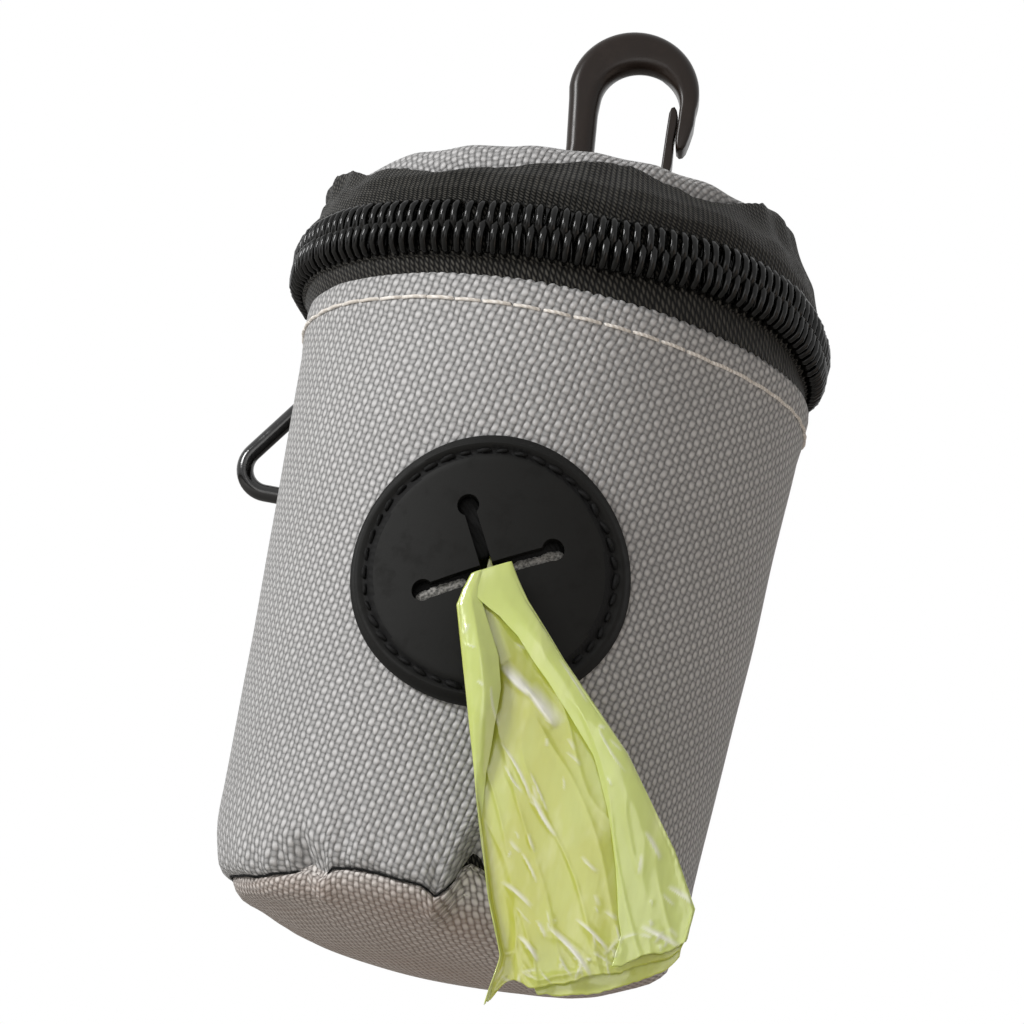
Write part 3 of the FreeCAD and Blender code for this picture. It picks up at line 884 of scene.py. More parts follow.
@dataclass(frozen=True)
class Fibrous(Recipe):
    """Foam, felt, cardboard or lining: cells or fibres in two tones.

    Args:
        tone: main colour.
        deep: colour of the pits, darker as painted shade.
        cell: size of a cell or fibre in millimetres.
        relief: depth of the cells in millimetres.
        stretch: scale along each axis, for fibres that lie one way.
    """

    tone: int
    deep: int
    cell: float
    relief: float
    stretch: Point = (1.0, 1.0, 1.0)

    def make(self) -> bpy.types.Material:
        """Build the material."""
        s = Shading(self.name)
        place = s.place()
        cell = s.noise(place, METRE / self.cell, 3, 0.6, self.stretch)
        # Painted shade in the pits: the colour darkens with the same cells as the relief.
        tone = s.mix(s.ease(cell, 0.3, 0.65), self.deep, self.tone)
        tone = s.mix(s.noise(place, 60, 2) * 0.25, tone, self.deep)
        return s.surface(Base_Color=tone, Roughness=0.85, Sheen_Weight=0.1, Normal=s.bump(cell, self.relief))


MADE: dict[str, bpy.types.Material] = {}


class Finish(Enum):
    """Every finish of the dispenser, with its recipe."""

    SHELL = Woven("grey_pouch_weave", "shell_fabric", high=0xCBCACA, low=0x7C7C7C)
    BASE = Woven("grey_base_weave", "shell_fabric", high=0xE4DFDB, low=0x837D79, painted_warm_shade=0x8E6F5A, painted_warm_shade_share=0.55,
                 painted_warm_shade_top=float(HANG[2]) + 5.6)
    TAPE = Twilled("black_zip_tape", "black_tape", high=0x53514C, low=0x070706)
    WEBBING = Twilled("black_webbing", "black_webbing", high=0x2E2E2D, low=0x0B0B0B, across=0.7, along=1.0,
                      herringbone=True)
    COIL = Moulded("black_nylon_coil", "black_coil", tone=0x070706, worn=0x10100F, shine=0.16, dull=0.28, gleam=0.24)
    SILICONE = Moulded("black_patch_rubber", "black_silicone", tone=0x131312, worn=0x191918, shine=0.62, dull=0.72,
                       grain=0.18, relief=0.008, gleam=0.15)
    LINT = Fibrous("dusty_cut_edge", "shell_fabric", tone=0x9A9894, deep=0x3A3A38, cell=0.3, relief=0.12)
    HOOK = Moulded("brown_black_hook", "black_plastic", tone=0x1C140F, worn=0x261B14, shine=0.28, dull=0.36, grain=0.5,
                   relief=0.004, gleam=0.25)
    WIRE = Moulded("black_wire_paint", "black_metal", tone=0x090909, worn=0x161616, shine=0.12, dull=0.26, coat=0.3,
                   gleam=0.4)
    FILM = Film("lime_bag_film", "bag_film", tone=0xCADB76, deep=0xB6BC3C, pale=0xE6EDA6, white=0xFCFDF0)
    FOAM = Fibrous("pale_wall_foam", "foam", tone=0xD9D6CC, deep=0x9B978B, cell=0.6, relief=0.12)
    LINING = Fibrous("dark_lining", "lining_fabric", tone=0x4A4A4C, deep=0x262628, cell=0.3, relief=0.05,
                     stretch=(1.0, 1.0, 3.0))
    CARD = Fibrous("brown_core_card", "cardboard", tone=0xB59C7B, deep=0x9C8264, cell=0.7, relief=0.03,
                   stretch=(1.0, 1.0, 0.3))
    PALE_THREAD = Thread("off_white_thread", "shell_fabric", tone=0xFBF7F2, deep=0xD2CBC2)
    DARK_THREAD = Thread("black_thread", "black_silicone", tone=0x0B0B0B, deep=0x030303)

    def material(self) -> bpy.types.Material:
        """The finish's material, made the first time that a piece asks for it."""
        if self.name not in MADE:
            MADE[self.name] = self.value.make()
        return MADE[self.name]


def settle(piece: Piece, body: Place, finish: Finish, *nodes: str, slot: str | None = None) -> None:
    """Give a piece its material and body, hide the CAD nodes that it stands for, and report it.

    Args:
        piece: the object.
        body: the body that it rides on.
        finish: its finish.
        nodes: the CAD nodes that it replaces.
        slot: the record's material slot, where it isn't the finish's own; not used.
    """
    if not piece.data.materials:
        piece.data.materials.append(finish.material())
    if nodes:
        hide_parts(*nodes)
    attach(piece, body.value)
    log.info("%s: %d faces on %s", piece.name, len(piece.data.polygons), body.value)


# ---- repeated units along a path


@dataclass
class Row:
    """Stations along a path, each with the path's direction and the way out of the surface.

    Args:
        spots: places in millimetres.
        tangents: direction of the path at each spot.
        outwards: way out of the surface at each spot.
    """

    spots: list[Point] = field(default_factory=list)
    tangents: list[Point] = field(default_factory=list)
    outwards: list[Point] = field(default_factory=list)

    def add(self, spot: Point, tangent: Point, outward: Point) -> None:
        """Add one station."""
        self.spots.append(spot)
        self.tangents.append(tangent)
        self.outwards.append(outward)

    @staticmethod
    def ring(count: int, first: float, last: float, radius: Callable[[float], float],
             height: Callable[[float], float]) -> "Row":
        """Stations round the pouch's axis.

        Args:
            count: number of stations.
            first: angle of the first one from the front, in degrees.
            last: angle of the last one.
            radius: radius at an angle.
            height: height at an angle.

        Returns:
            The row.
        """
        row = Row()
        for k in range(count):
            turn = first + (last - first) * k / (count - 1)
            before, spot, after = (around(t, radius(t), height(t)) for t in (turn - 0.5, turn, turn + 0.5))
            row.add(spot, tuple(np.subtract(after, before)), around(turn, 1.0, 0.0))
        return row


class Repeater(Tree):
    """A Geometry Nodes tree that sets one unit at every station of a row."""

    KINDS = {"Unit": "Object", "Finish": "Material", "Size": "Float", "Size spread": "Float", "Turn spread": "Float",
             "Seed": "Int"}

    def __init__(self) -> None:
        """Build the tree once."""
        super().__init__(bpy.data.node_groups.new("units_along_a_row", "GeometryNodeTree"))
        face = self.tree.interface
        face.new_socket("Row", in_out="INPUT", socket_type="NodeSocketGeometry")
        self.sockets = {name: face.new_socket(name, in_out="INPUT", socket_type="NodeSocket" + kind).identifier
                        for name, kind in self.KINDS.items()}
        face.new_socket("Units", in_out="OUTPUT", socket_type="NodeSocketGeometry")
        given = self.tree.nodes.new("NodeGroupInput").outputs
        size, spread, seed = given["Size"], given["Size spread"], given["Seed"]
        points = self.first("GeometryNodeMeshToPoints", (0, given["Row"]))
        lined = self.first("FunctionNodeAlignRotationToVector", (2, self.named("outward")), axis="Z")
        turned_to = self.first("FunctionNodeAlignRotationToVector", (0, lined), (2, self.named("tangent")), axis="X",
                               pivot_axis="Z")
        back = self.first("ShaderNodeMath", (0, given["Turn spread"]), (1, -1.0), operation="MULTIPLY")
        turn = self.node("FunctionNodeRandomValue", ("Min", back), ("Max", given["Turn spread"]), ("Seed", seed),
                         data_type="FLOAT_VECTOR")
        loose = self.first("FunctionNodeRotateRotation", (0, turned_to), (1, turn.outputs[0]), rotation_space="LOCAL")
        low, high = (self.first("ShaderNodeMath", (0, size), (1, spread), operation=way) for way in ("SUBTRACT", "ADD"))
        grown = self.node("FunctionNodeRandomValue", ("Min", low), ("Max", high), ("Seed", seed), data_type="FLOAT")
        unit = self.node("GeometryNodeObjectInfo", ("Object", given["Unit"]), ("As Instance", True))
        placed = self.first("GeometryNodeInstanceOnPoints", ("Points", points), ("Instance", unit.outputs["Geometry"]),
                            ("Rotation", loose), ("Scale", grown.outputs["Value"]))
        real = self.first("GeometryNodeRealizeInstances", (0, placed))
        dressed = self.first("GeometryNodeSetMaterial", ("Geometry", real), ("Material", given["Finish"]))
        self.node("NodeGroupOutput", (0, dressed))

    def first(self, kind: str, *feeds: tuple[object, object], **values: object) -> Socket:
        """Add a node and return its first output."""
        return self.node(kind, *feeds, **values).outputs[0]

    def named(self, attribute: str) -> Socket:
        """The output of a node that reads a station's vector."""
        made = self.node("GeometryNodeInputNamedAttribute", ("Name", attribute), data_type="FLOAT_VECTOR")
        return made.outputs["Attribute"]

    def run(self, name: str, row: Row, unit: Piece, finish: Finish, size_spread: float, turn_spread: float,
            seed: int) -> Piece:
        """Set the unit at every station and return one plain mesh.

        Args:
            name: the new piece's name.
            row: its stations.
            unit: the object that is repeated, with X along the row and Z out of the surface.
            finish: the units' finish.
            size_spread: how far a unit's scale may differ from 1.
            turn_spread: how far each unit may be turned, in degrees.
            seed: the seed of the differences.

        Returns:
            The finished object.
        """
        guide = mesh_piece(name, row.spots, [])
        vectors = {"tangent": row.tangents, "outward": row.outwards}
        for attribute, values in vectors.items():
            layer = guide.data.attributes.new(attribute, "FLOAT_VECTOR", "POINT")
            layer.data.foreach_set("vector", np.asarray(values, float).ravel())
        repeat = guide.modifiers.new("repeat", "NODES")
        repeat.node_group = self.tree
        for key, value in zip(self.KINDS, (unit, finish.material(), 1.0, size_spread, math.radians(turn_spread), seed)):
            repeat[self.sockets[key]] = value
        apply_modifiers(guide)
        for attribute in vectors:
            if attribute in guide.data.attributes:
                guide.data.attributes.remove(guide.data.attributes[attribute])
        bpy.data.objects.remove(unit)
        return guide




# ---- the pouch's shell


@dataclass(frozen=True)
class Pucker:
    """A gather where the wall is sewn to the base.

    Args:
        turn: its angle from the front, in degrees.
        width: half width in degrees.
        depth: how far it pulls in, in millimetres.
        rise: how far up the wall it reaches, in millimetres.
    """

    turn: float
    width: float
    depth: float
    rise: float


@dataclass
class Shell:
    """The woven wall with its foam and lining, the domed base and the topstitching.

    Its seam line gives the height of the seam over the base at angles from the front.
    """

    repeater: Repeater
    base_radius: float = 24.7
    top_radius: float = 27.5
    seam_height: float = 6.5
    wall_top: float = 66.4
    stitch_height: float = 63.6
    stitch_length: float = 3.0
    port_height: float = 36.8
    port_radius: float = 8.5
    seam_level: float = 6.1
    tuck_turn: float = -88.0
    tuck_width: float = 45.0
    scallop: Pair = (0.32, 1.2)
    seam_line: Profile = (
        (-180, 6.4), (-160, 5.8), (-138, 6.9), (-120, 6.2), (-104, 6.4), (-92, 5.6), (-78, 5.2), (-66, 4.8), (-56, 4.5),
        (-51, 4.3), (-44, 4.5), (-38, 4.9), (-35, 5.2), (-32, 5.6), (-31, 5.3), (-28, 4.8), (-26, 5.1), (-24, 5.6),
        (-20, 5.8), (-16, 5.8), (-11, 5.7), (-6, 5.4), (-1, 5.3), (1, 5.0), (3, 4.5), (5, 5.3), (7, 6.7), (8, 7.8),
        (10, 8.6), (13, 8.2), (18, 6.9), (34, 6.1), (48, 6.8), (60, 6.0), (78, 6.6), (96, 6.1), (112, 6.8), (130, 6.0),
        (152, 6.9), (180, 6.4),
    )
    puckers: tuple[Pucker, ...] = (
        Pucker(-90, 26, 1.1, 3.4), Pucker(-47, 3.5, 0.5, 2.0), Pucker(-39, 2.4, 1.0, 1.8),
        Pucker(-33, 3.6, 2.2, 1.9), Pucker(-28, 3.0, 2.0, 1.7),
        Pucker(-21, 2.5, 0.6, 3.6), Pucker(-12, 3.0, 0.4, 2.6), Pucker(2.6, 1.6, 0.9, 1.6), Pucker(9.5, 3.2, 2.3, 2.0),
        Pucker(13.5, 3.2, 2.0, 3.4), Pucker(30, 4.0, 0.6, 4.0), Pucker(48, 3.0, 0.6, 3.0),
        Pucker(66, 3.5, 0.5, 3.5), Pucker(88, 3.0, 0.6, 3.0), Pucker(113, 4.0, 0.8, 4.5), Pucker(140, 3.5, 0.6, 3.5),
        Pucker(165, 4.0, 0.7, 4.0), Pucker(-62, 3.5, 0.4, 2.5), Pucker(-80, 3.0, 0.5, 3.0), Pucker(-105, 4.0, 0.8, 4.5),
        Pucker(-132, 3.0, 0.6, 3.5), Pucker(-158, 4.0, 0.7, 4.5),
    )

    def radius_at(self, height: float) -> float:
        """Outer radius of the wall at a height."""
        slope = (self.top_radius - self.base_radius) / (self.wall_top - self.seam_height)
        return self.base_radius + (height - self.seam_height) * slope

    def seam_at(self, turn: float) -> float:
        """Height of the bottom seam at an angle from the front."""
        return read(self.seam_line, turn_gap(turn, 0))

    def pull_at(self, turn: float, height: float) -> float:
        """How far the gathers pull a point in."""
        over = height - self.seam_at(turn)
        return sum(p.depth * near(turn, p.turn, p.width) * bump(over, 0.3, p.rise) for p in self.puckers)

    def soften(self, turn: float, height: float) -> float:
        """Slow unevenness of the wall's radius."""
        return 0.28 * rough_round(turn, 1.3, height / 26) + 0.07 * rough_round(turn, 4, height / 9, 7)

    def rim_rise(self, turn: float, height: float) -> float:
        """How far the rim rises above the plain wall, a little more at the left than at the right."""
        whole = 0.6 - 0.3 * math.sin(math.radians(turn)) + 0.12 * rough(turn / 16, 2.0)
        return whole * rise(height, 40, 22)

    def shape_wall(self, turn: float, radius: float, height: float) -> Point:
        """Push a point of the wall about: the wavy seam, the gathers and the scalloped rim.

        Args:
            turn, radius, height: the point before.

        Returns:
            The point after.
        """
        low = 1 - rise(height, self.seam_height, 8)
        new_height = height + (self.seam_at(turn) - self.seam_level) * low + self.rim_rise(turn, height)
        edge = rise(height, self.wall_top - 0.35, 0.3)
        tall, wide = self.scallop
        new_height += edge * tall * abs(math.sin(math.radians(turn) * self.top_radius / wide * math.pi))
        return turn, radius + self.soften(turn, height) - self.pull_at(turn, new_height), new_height

    def wall(self) -> None:
        """Build the wall: a folded hem at the top, a tucked seam at the bottom and the port behind the patch."""
        low = self.base_radius
        outer = [(low - 1.6, 5.85), (low - 0.9, 5.95), (low - 0.3, 6.3), (low + 0.1, 6.85), (low + 0.32, 7.7)]
        outer += [(self.radius_at(at) + out, z) for at, out, z in (
            (9, 0.3, 9), (14, 0.1, 14), (61, 0.0, 61), (62.6, 0.12, 62.6), (65.6, 0.16, 65.6), (66.1, 0.05, 66.15),
            (66.4, -0.3, 66.4))]
        cloth = 0.62
        inner = [(low - 1.6, 6.6)] + [(r - cloth, z) for r, z in outer[4:-1]]
        inner.append((outer[-1][0] - cloth, outer[-1][1] - 0.2))
        wall = lathe("pouch_wall", outer + inner[::-1], 1.15, 540, self.shape_wall)
        self.open_port(wall)
        settle(wall, Place.POUCH, Finish.SHELL, "outer_wall")

    def open_port(self, piece: Piece) -> None:
        """Cut the round port behind the patch through a layer of the wall."""
        cut_away(piece, post(disc_outline(self.port_radius, (0.0, self.port_height)), -40.0, -10.0, 0))

    def inner_layers(self) -> None:
        """Build the foam and the lining inside the wall."""
        low, high = 8.6, 61.3
        for name, depth, thickness, finish, node in (
                ("wall_foam", 0.75, 1.15, Finish.FOAM, "wall_foam_layer"),
                ("wall_lining_cloth", 1.95, 0.35, Finish.LINING, "wall_lining")):
            profile = [(self.radius_at(z) - d, z) for z, d in (
                (low, depth + thickness), (low, depth), (high, depth), (high, depth + thickness))]
            piece = lathe(name, profile, 2.5, 180, self.shape_layer)
            self.open_port(piece)
            settle(piece, Place.POUCH, finish, node)

    def shape_layer(self, turn: float, radius: float, height: float) -> Point:
        """Push a point of an inner layer about in step with the wall."""
        return turn, radius + self.soften(turn, height) - 0.1 - self.pull_at(turn, height), height

    def shape_seam_shadow_ring(self, turn: float, out: float, up: float) -> Point:
        """Carry a point of the dark ring of painted shadow along the crease between the wall and the base.

        Args:
            turn: angle from the front.
            out: how far the point lies outside the thread's middle.
            up: how far it lies over it.

        Returns:
            The point's angle, radius and height.
        """
        seam = self.seam_at(turn)
        sunk = 0.74 + 0.3 * rough(turn / 1.7, 3.0) + 0.9 * near(turn, self.tuck_turn, 42)
        radius = self.base_radius - sunk + self.soften(turn, seam) - 0.85 * self.pull_at(turn, seam + 0.3)
        return turn, radius + out, seam - 0.3 + up

    def seam_thread(self) -> None:
        """Lay a dark ring of painted shadow in the crease between the wall and the base."""
        # A dark ring, sunk into the crease, paints the shadow along the seam.
        ring = lathe("seam_thread", [(-0.1, -0.1), (0.06, -0.1), (0.12, 0.0), (0.06, 0.1), (-0.1, 0.1)], 0.4, 420,
                     self.shape_seam_shadow_ring)
        settle(ring, Place.POUCH, Finish.DARK_THREAD, slot="shell_fabric")

    def stitches(self) -> None:
        """Sew the ring of topstitching under the rim."""
        count = round(math.tau * self.radius_at(self.stitch_height) / (self.stitch_length + 0.12))
        unit = stitch_unit("stitch", self.stitch_length / 2, (0.02, 0.12), (0.14, 0.19, 0.2), lean=0.03, shoulder=0.9)
        row = Row.ring(count, -180, 180 - 360 / count,
                       lambda turn: self.radius_at(self.stitch_height) + 0.16 + self.soften(turn, self.stitch_height),
                       lambda turn: self.stitch_height + self.rim_rise(turn, self.stitch_height))
        ring = self.repeater.run("rim_topstitching", row, unit, Finish.PALE_THREAD, 0.06, 2.0, 3)
        settle(ring, Place.POUCH, Finish.PALE_THREAD)

    def shape_base(self, turn: float, radius: float, height: float) -> Point:
        """Push a point of the base about: it meets the wavy seam and is tucked up at the left.

        Args:
            turn, radius, height: the point before.

        Returns:
            The point after.
        """
        share = min(1.0, radius / self.base_radius)
        rim = rise(share, 0.72, 0.28)
        tuck = near(turn, self.tuck_turn, self.tuck_width)
        ripple = 0.18 * rough_round(turn, share * 3, 3.0)
        pleat = sum(0.35 * p.depth * near(turn, p.turn, p.width * 1.5) for p in self.puckers)
        new_height = height + (self.seam_at(turn) - self.seam_level) * rim + 0.2
        new_height += 1.5 * tuck * share * share * (1 - 0.7 * rim)
        new_height += ripple - pleat * 0.2 * rim
        new_radius = radius * (1 - 0.07 * tuck * share * share) - pleat * 0.8 * rise(share, 0.8, 0.2)
        return turn, new_radius, new_height

    def shape_pad(self, turn: float, radius: float, height: float) -> Point:
        """Push a point of the base's foam up with its cloth at the left.

        Args:
            turn, radius, height: the point before.

        Returns:
            The point after.
        """
        share = min(1.0, radius / self.base_radius)
        tuck = near(turn, self.tuck_turn, self.tuck_width) * share * share
        return turn, radius * (1 - 0.08 * tuck), min(height + 0.2 + 1.5 * tuck, 6.4)

    def base(self) -> None:
        """Build the domed base panel and the layers in it."""
        shares = ((0.0, 0.0), (0.2, 0.008), (0.37, 0.03), (0.5, 0.07), (0.61, 0.125), (0.71, 0.2), (0.79, 0.29),
                  (0.86, 0.4), (0.91, 0.5), (0.95, 0.63), (0.972, 0.74), (0.975, 0.8), (0.955, 0.87), (0.92, 0.9))
        under = [(share * self.base_radius, up * self.seam_height) for share, up in shares]
        over = [(max(0.0, r - 0.5), z + 0.55) for r, z in under[1:]]
        profile = under + over[::-1] + [(0.0, 0.6)]
        panel = lathe("base_cloth", profile, 0.8, 360, self.shape_base, closed=False, level=True)
        settle(panel, Place.POUCH, Finish.BASE, "base_panel")
        pad = lathe("base_foam", [(0.0, 1.0), (15.0, 1.7), (20.0, 3.4), (22.0, 5.0), (22.2, 6.1), (0.0, 6.3)], 2.0, 120,
                    self.shape_pad, closed=False)
        settle(pad, Place.POUCH, Finish.FOAM, "base_pad")
        floor = lathe("base_floor_lining", [(0.0, 6.5), (22.0, 6.5), (22.3, 6.75), (22.0, 6.9), (0.0, 6.95)], 1.5, 120,
                      lambda turn, radius, height: (turn, radius, height + 0.12 * rough(turn / 30, radius / 5)),
                      closed=False)
        settle(floor, Place.POUCH, Finish.LINING, "base_lining")
        low, outer = 6.95, 22.3
        corners = ((-1.1, 0.0), (-0.1, 0.0), (0.0, 0.4), (0.0, 4.6), (-0.3, 5.05), (-0.9, 5.05), (-1.15, 4.6))
        binding = lathe("seam_binding", [(outer + out, low + up) for out, up in corners], 0.8, 240, self.shape_binding)
        settle(binding, Place.POUCH, Finish.TAPE, "base_binding")

    def shape_binding(self, turn: float, radius: float, height: float) -> Point:
        """Ripple the binding over the seam's gathers.

        Args:
            turn, radius, height: the point before.

        Returns:
            The point after.
        """
        angle = math.radians(turn)
        wave = 0.12 * math.sin(9 * angle + 2 * math.sin(3 * angle))
        return turn, radius + wave - 0.12, height + wave * 0.6 * rise(height, 8, 3)

    def build(self) -> None:
        """Build everything."""
        self.wall()
        self.inner_layers()
        self.seam_thread()
        self.stitches()
        self.base()


# ---- zip, lid and fabric hinge


@dataclass
class Zip:
    """The lower tape, the two rows of coil teeth, the end stops, the slider and its pull.

    Its height line gives the chain's rise and fall at angles from the front.
    """

    repeater: Repeater
    pitch: float = 1.27
    chain_radius: float = 27.4
    crest_radius: float = 29.0
    chain_height: float = 71.8
    lower_span: float = 150.0
    lid_span: float = 136.0
    tail_sweep: float = 13.0
    side_shift: float = -0.9
    height_line: Profile = ((-180, 0), (-136, 0), (-90, 0), (-66, 0), (-33, -0.2), (-14, 0.1), (-2, 0.4), (10, 0.5),
                            (29, 1.2), (36, 1.5), (58, 1.4), (67, 0.9), (78, 0.1), (92, -0.2), (136, 0), (180, 0))

    def tooth(self, side: float) -> Piece:
        """One turn of coil: out of the tape, over the crest to a head that hooks past the middle, and back inside.

        Args:
            side: -1 for the lower row, 1 for the upper row.

        Returns:
            The unit.
        """
        line = [(-0.1, 2.8, 0.45), (-0.06, 2.6, 1.2), (0.0, 2.0, 1.72), (0.0, 1.1, 1.9), (0.02, 0.25, 1.82),
                (0.05, -0.28, 1.42), (0.14, -0.3, 0.85), (0.28, 0.3, 0.5), (0.46, 1.6, 0.35), (0.56, 2.6, 0.4)]
        radii = [0.3, 0.35, 0.38, 0.4, 0.45, 0.46, 0.42, 0.38, 0.34, 0.3]
        return tube_unit("tooth", [(x, y * side, z) for x, y, z in line], radii, 8, 1.05)

    def teeth(self, name: str, side: float, first: float, last: float, body: Place, node: str) -> None:
        """Set one row of coil teeth.

        Args:
            name: the row's name.
            side: -1 for the lower row, 1 for the upper row.
            first: its first angle from the front.
            last: its last angle.
            body: the body that it rides on.
            node: the CAD node that it stands for.
        """
        step = math.degrees(self.pitch / self.crest_radius)
        shift = 0.5 * step if side > 0 else 0.0
        low, high = math.ceil((first - shift) / step), math.floor((last - shift) / step)
        row = Row.ring(high - low + 1, low * step + shift, high * step + shift,
                       lambda turn: self.chain_radius + self.across(turn) + 0.06 * rough(turn / 9, side),
                       lambda turn: self.chain_height + self.sway(turn))
        coil = self.repeater.run(name, row, self.tooth(side), Finish.COIL, 0.015, 2.5, 11)
        settle(coil, body, Finish.COIL, node)

    def sway(self, turn: float) -> float:
        """Slow rise and fall of the chain round the pouch."""
        return read(self.height_line, turn_gap(turn, 0))

    def across(self, turn: float) -> float:
        """Change of radius that sets the chain a little to the left of the pouch."""
        side = math.sin(math.radians(turn))
        return self.side_shift * side * smooth_step((150 - abs(turn_gap(turn, 0))) / 40)

    def cord(self, name: str, side: float, first: float, last: float, body: Place) -> None:
        """The sewing line that holds a row of teeth to its tape: a ridge along the teeth's feet.

        Args:
            name: the ridge's name.
            side: -1 for the lower row, 1 for the upper row.
            first: its first angle from the front.
            last: its last angle.
            body: the body that it rides on.
        """
        height = self.chain_height + side * 2.75
        profile = [(self.chain_radius + out, height + up) for out, up in (
            (-0.1, -0.4), (0.45, -0.25), (0.6, 0.05), (0.4, 0.32), (-0.1, 0.4))]
        ridge = lathe(name, profile, 0.3, 300,
                      lambda turn, radius, z: (turn, radius + self.across(turn), z + self.sway(turn)), (first, last))
        settle(ridge, body, Finish.TAPE)

    def shape_lower(self, turn: float, radius: float, height: float) -> Point:
        """Ripple the lower tape and slope it with the rim.

        Args:
            turn, radius, height: the point before.

        Returns:
            The point after.
        """
        high = rise(height, 66, 3)
        wave = 0.14 * rough_round(turn, 5, height / 4) * fall(height, 72, 3)
        return turn, radius + wave + self.across(turn) * high, height + self.sway(turn) * high

    def lower_tape(self) -> None:
        """Build the tape between the wall's rim and the lower teeth."""
        profile = [(26.15, 61.7), (26.65, 61.7), (26.85, 66.4), (27.3, 67.1), (27.55, 68.3), (27.5, 69.6),
                   (27.42, 71.45), (26.95, 71.45), (26.95, 69.4), (26.9, 67.2), (26.4, 66.5)]
        tape = lathe("lower_tape", profile, 0.6, 420, self.shape_lower)
        settle(tape, Place.POUCH, Finish.TAPE, "lower_zip_tape")

    def end_stops(self) -> None:
        """Build the moulded stops at both ends of the chain."""
        for index, middle in enumerate((151.8, -151.8)):
            profile = [(27.2, 69.2), (29.3, 69.3), (29.9, 70.2), (29.9, 73.6), (29.3, 74.4), (27.2, 74.5)]
            stop = lathe(f"zip_end_stop_{index + 1}", profile, 0.6, 12, None, (middle - 1.5, middle + 1.5))
            round_edges(stop, 0.35, 35)
            settle(stop, Place.POUCH, Finish.COIL, "zip_end_stops")

    def slider(self) -> None:
        """Dress the slider and its pull."""
        for name, node, body, bevel in (("slider_body", "zip_slider", Place.SLIDER, 0.28),
                                        ("slider_pull", "pull_tab", Place.PULL, 0.25)):
            settle(copy_node(name, node, bevel), body, Finish.WIRE, node)

    def build(self) -> None:
        """Build everything that stays on the pouch, the slider, and the lid's row of teeth."""
        self.lower_tape()
        tail, gap = self.lid_span + 0.7, 0.4
        self.teeth("lower_coil", -1.0, -self.lower_span, self.lower_span, Place.POUCH, "lower_zip_coil")
        self.teeth("upper_coil", 1.0, -self.lid_span + gap, self.lid_span - gap, Place.LID, "upper_zip_coil")
        self.teeth("upper_coil_end_left", 1.0, -tail - self.tail_sweep, -tail - gap, Place.POUCH, "upper_coil_tails")
        self.teeth("upper_coil_end_right", 1.0, tail + gap, tail + self.tail_sweep, Place.POUCH, "upper_coil_tails")
        self.cord("lower_coil_sewing", -1.0, -self.lower_span, self.lower_span, Place.POUCH)
        self.cord("upper_coil_sewing", 1.0, -self.lid_span, self.lid_span, Place.LID)
        self.end_stops()
        self.slider()


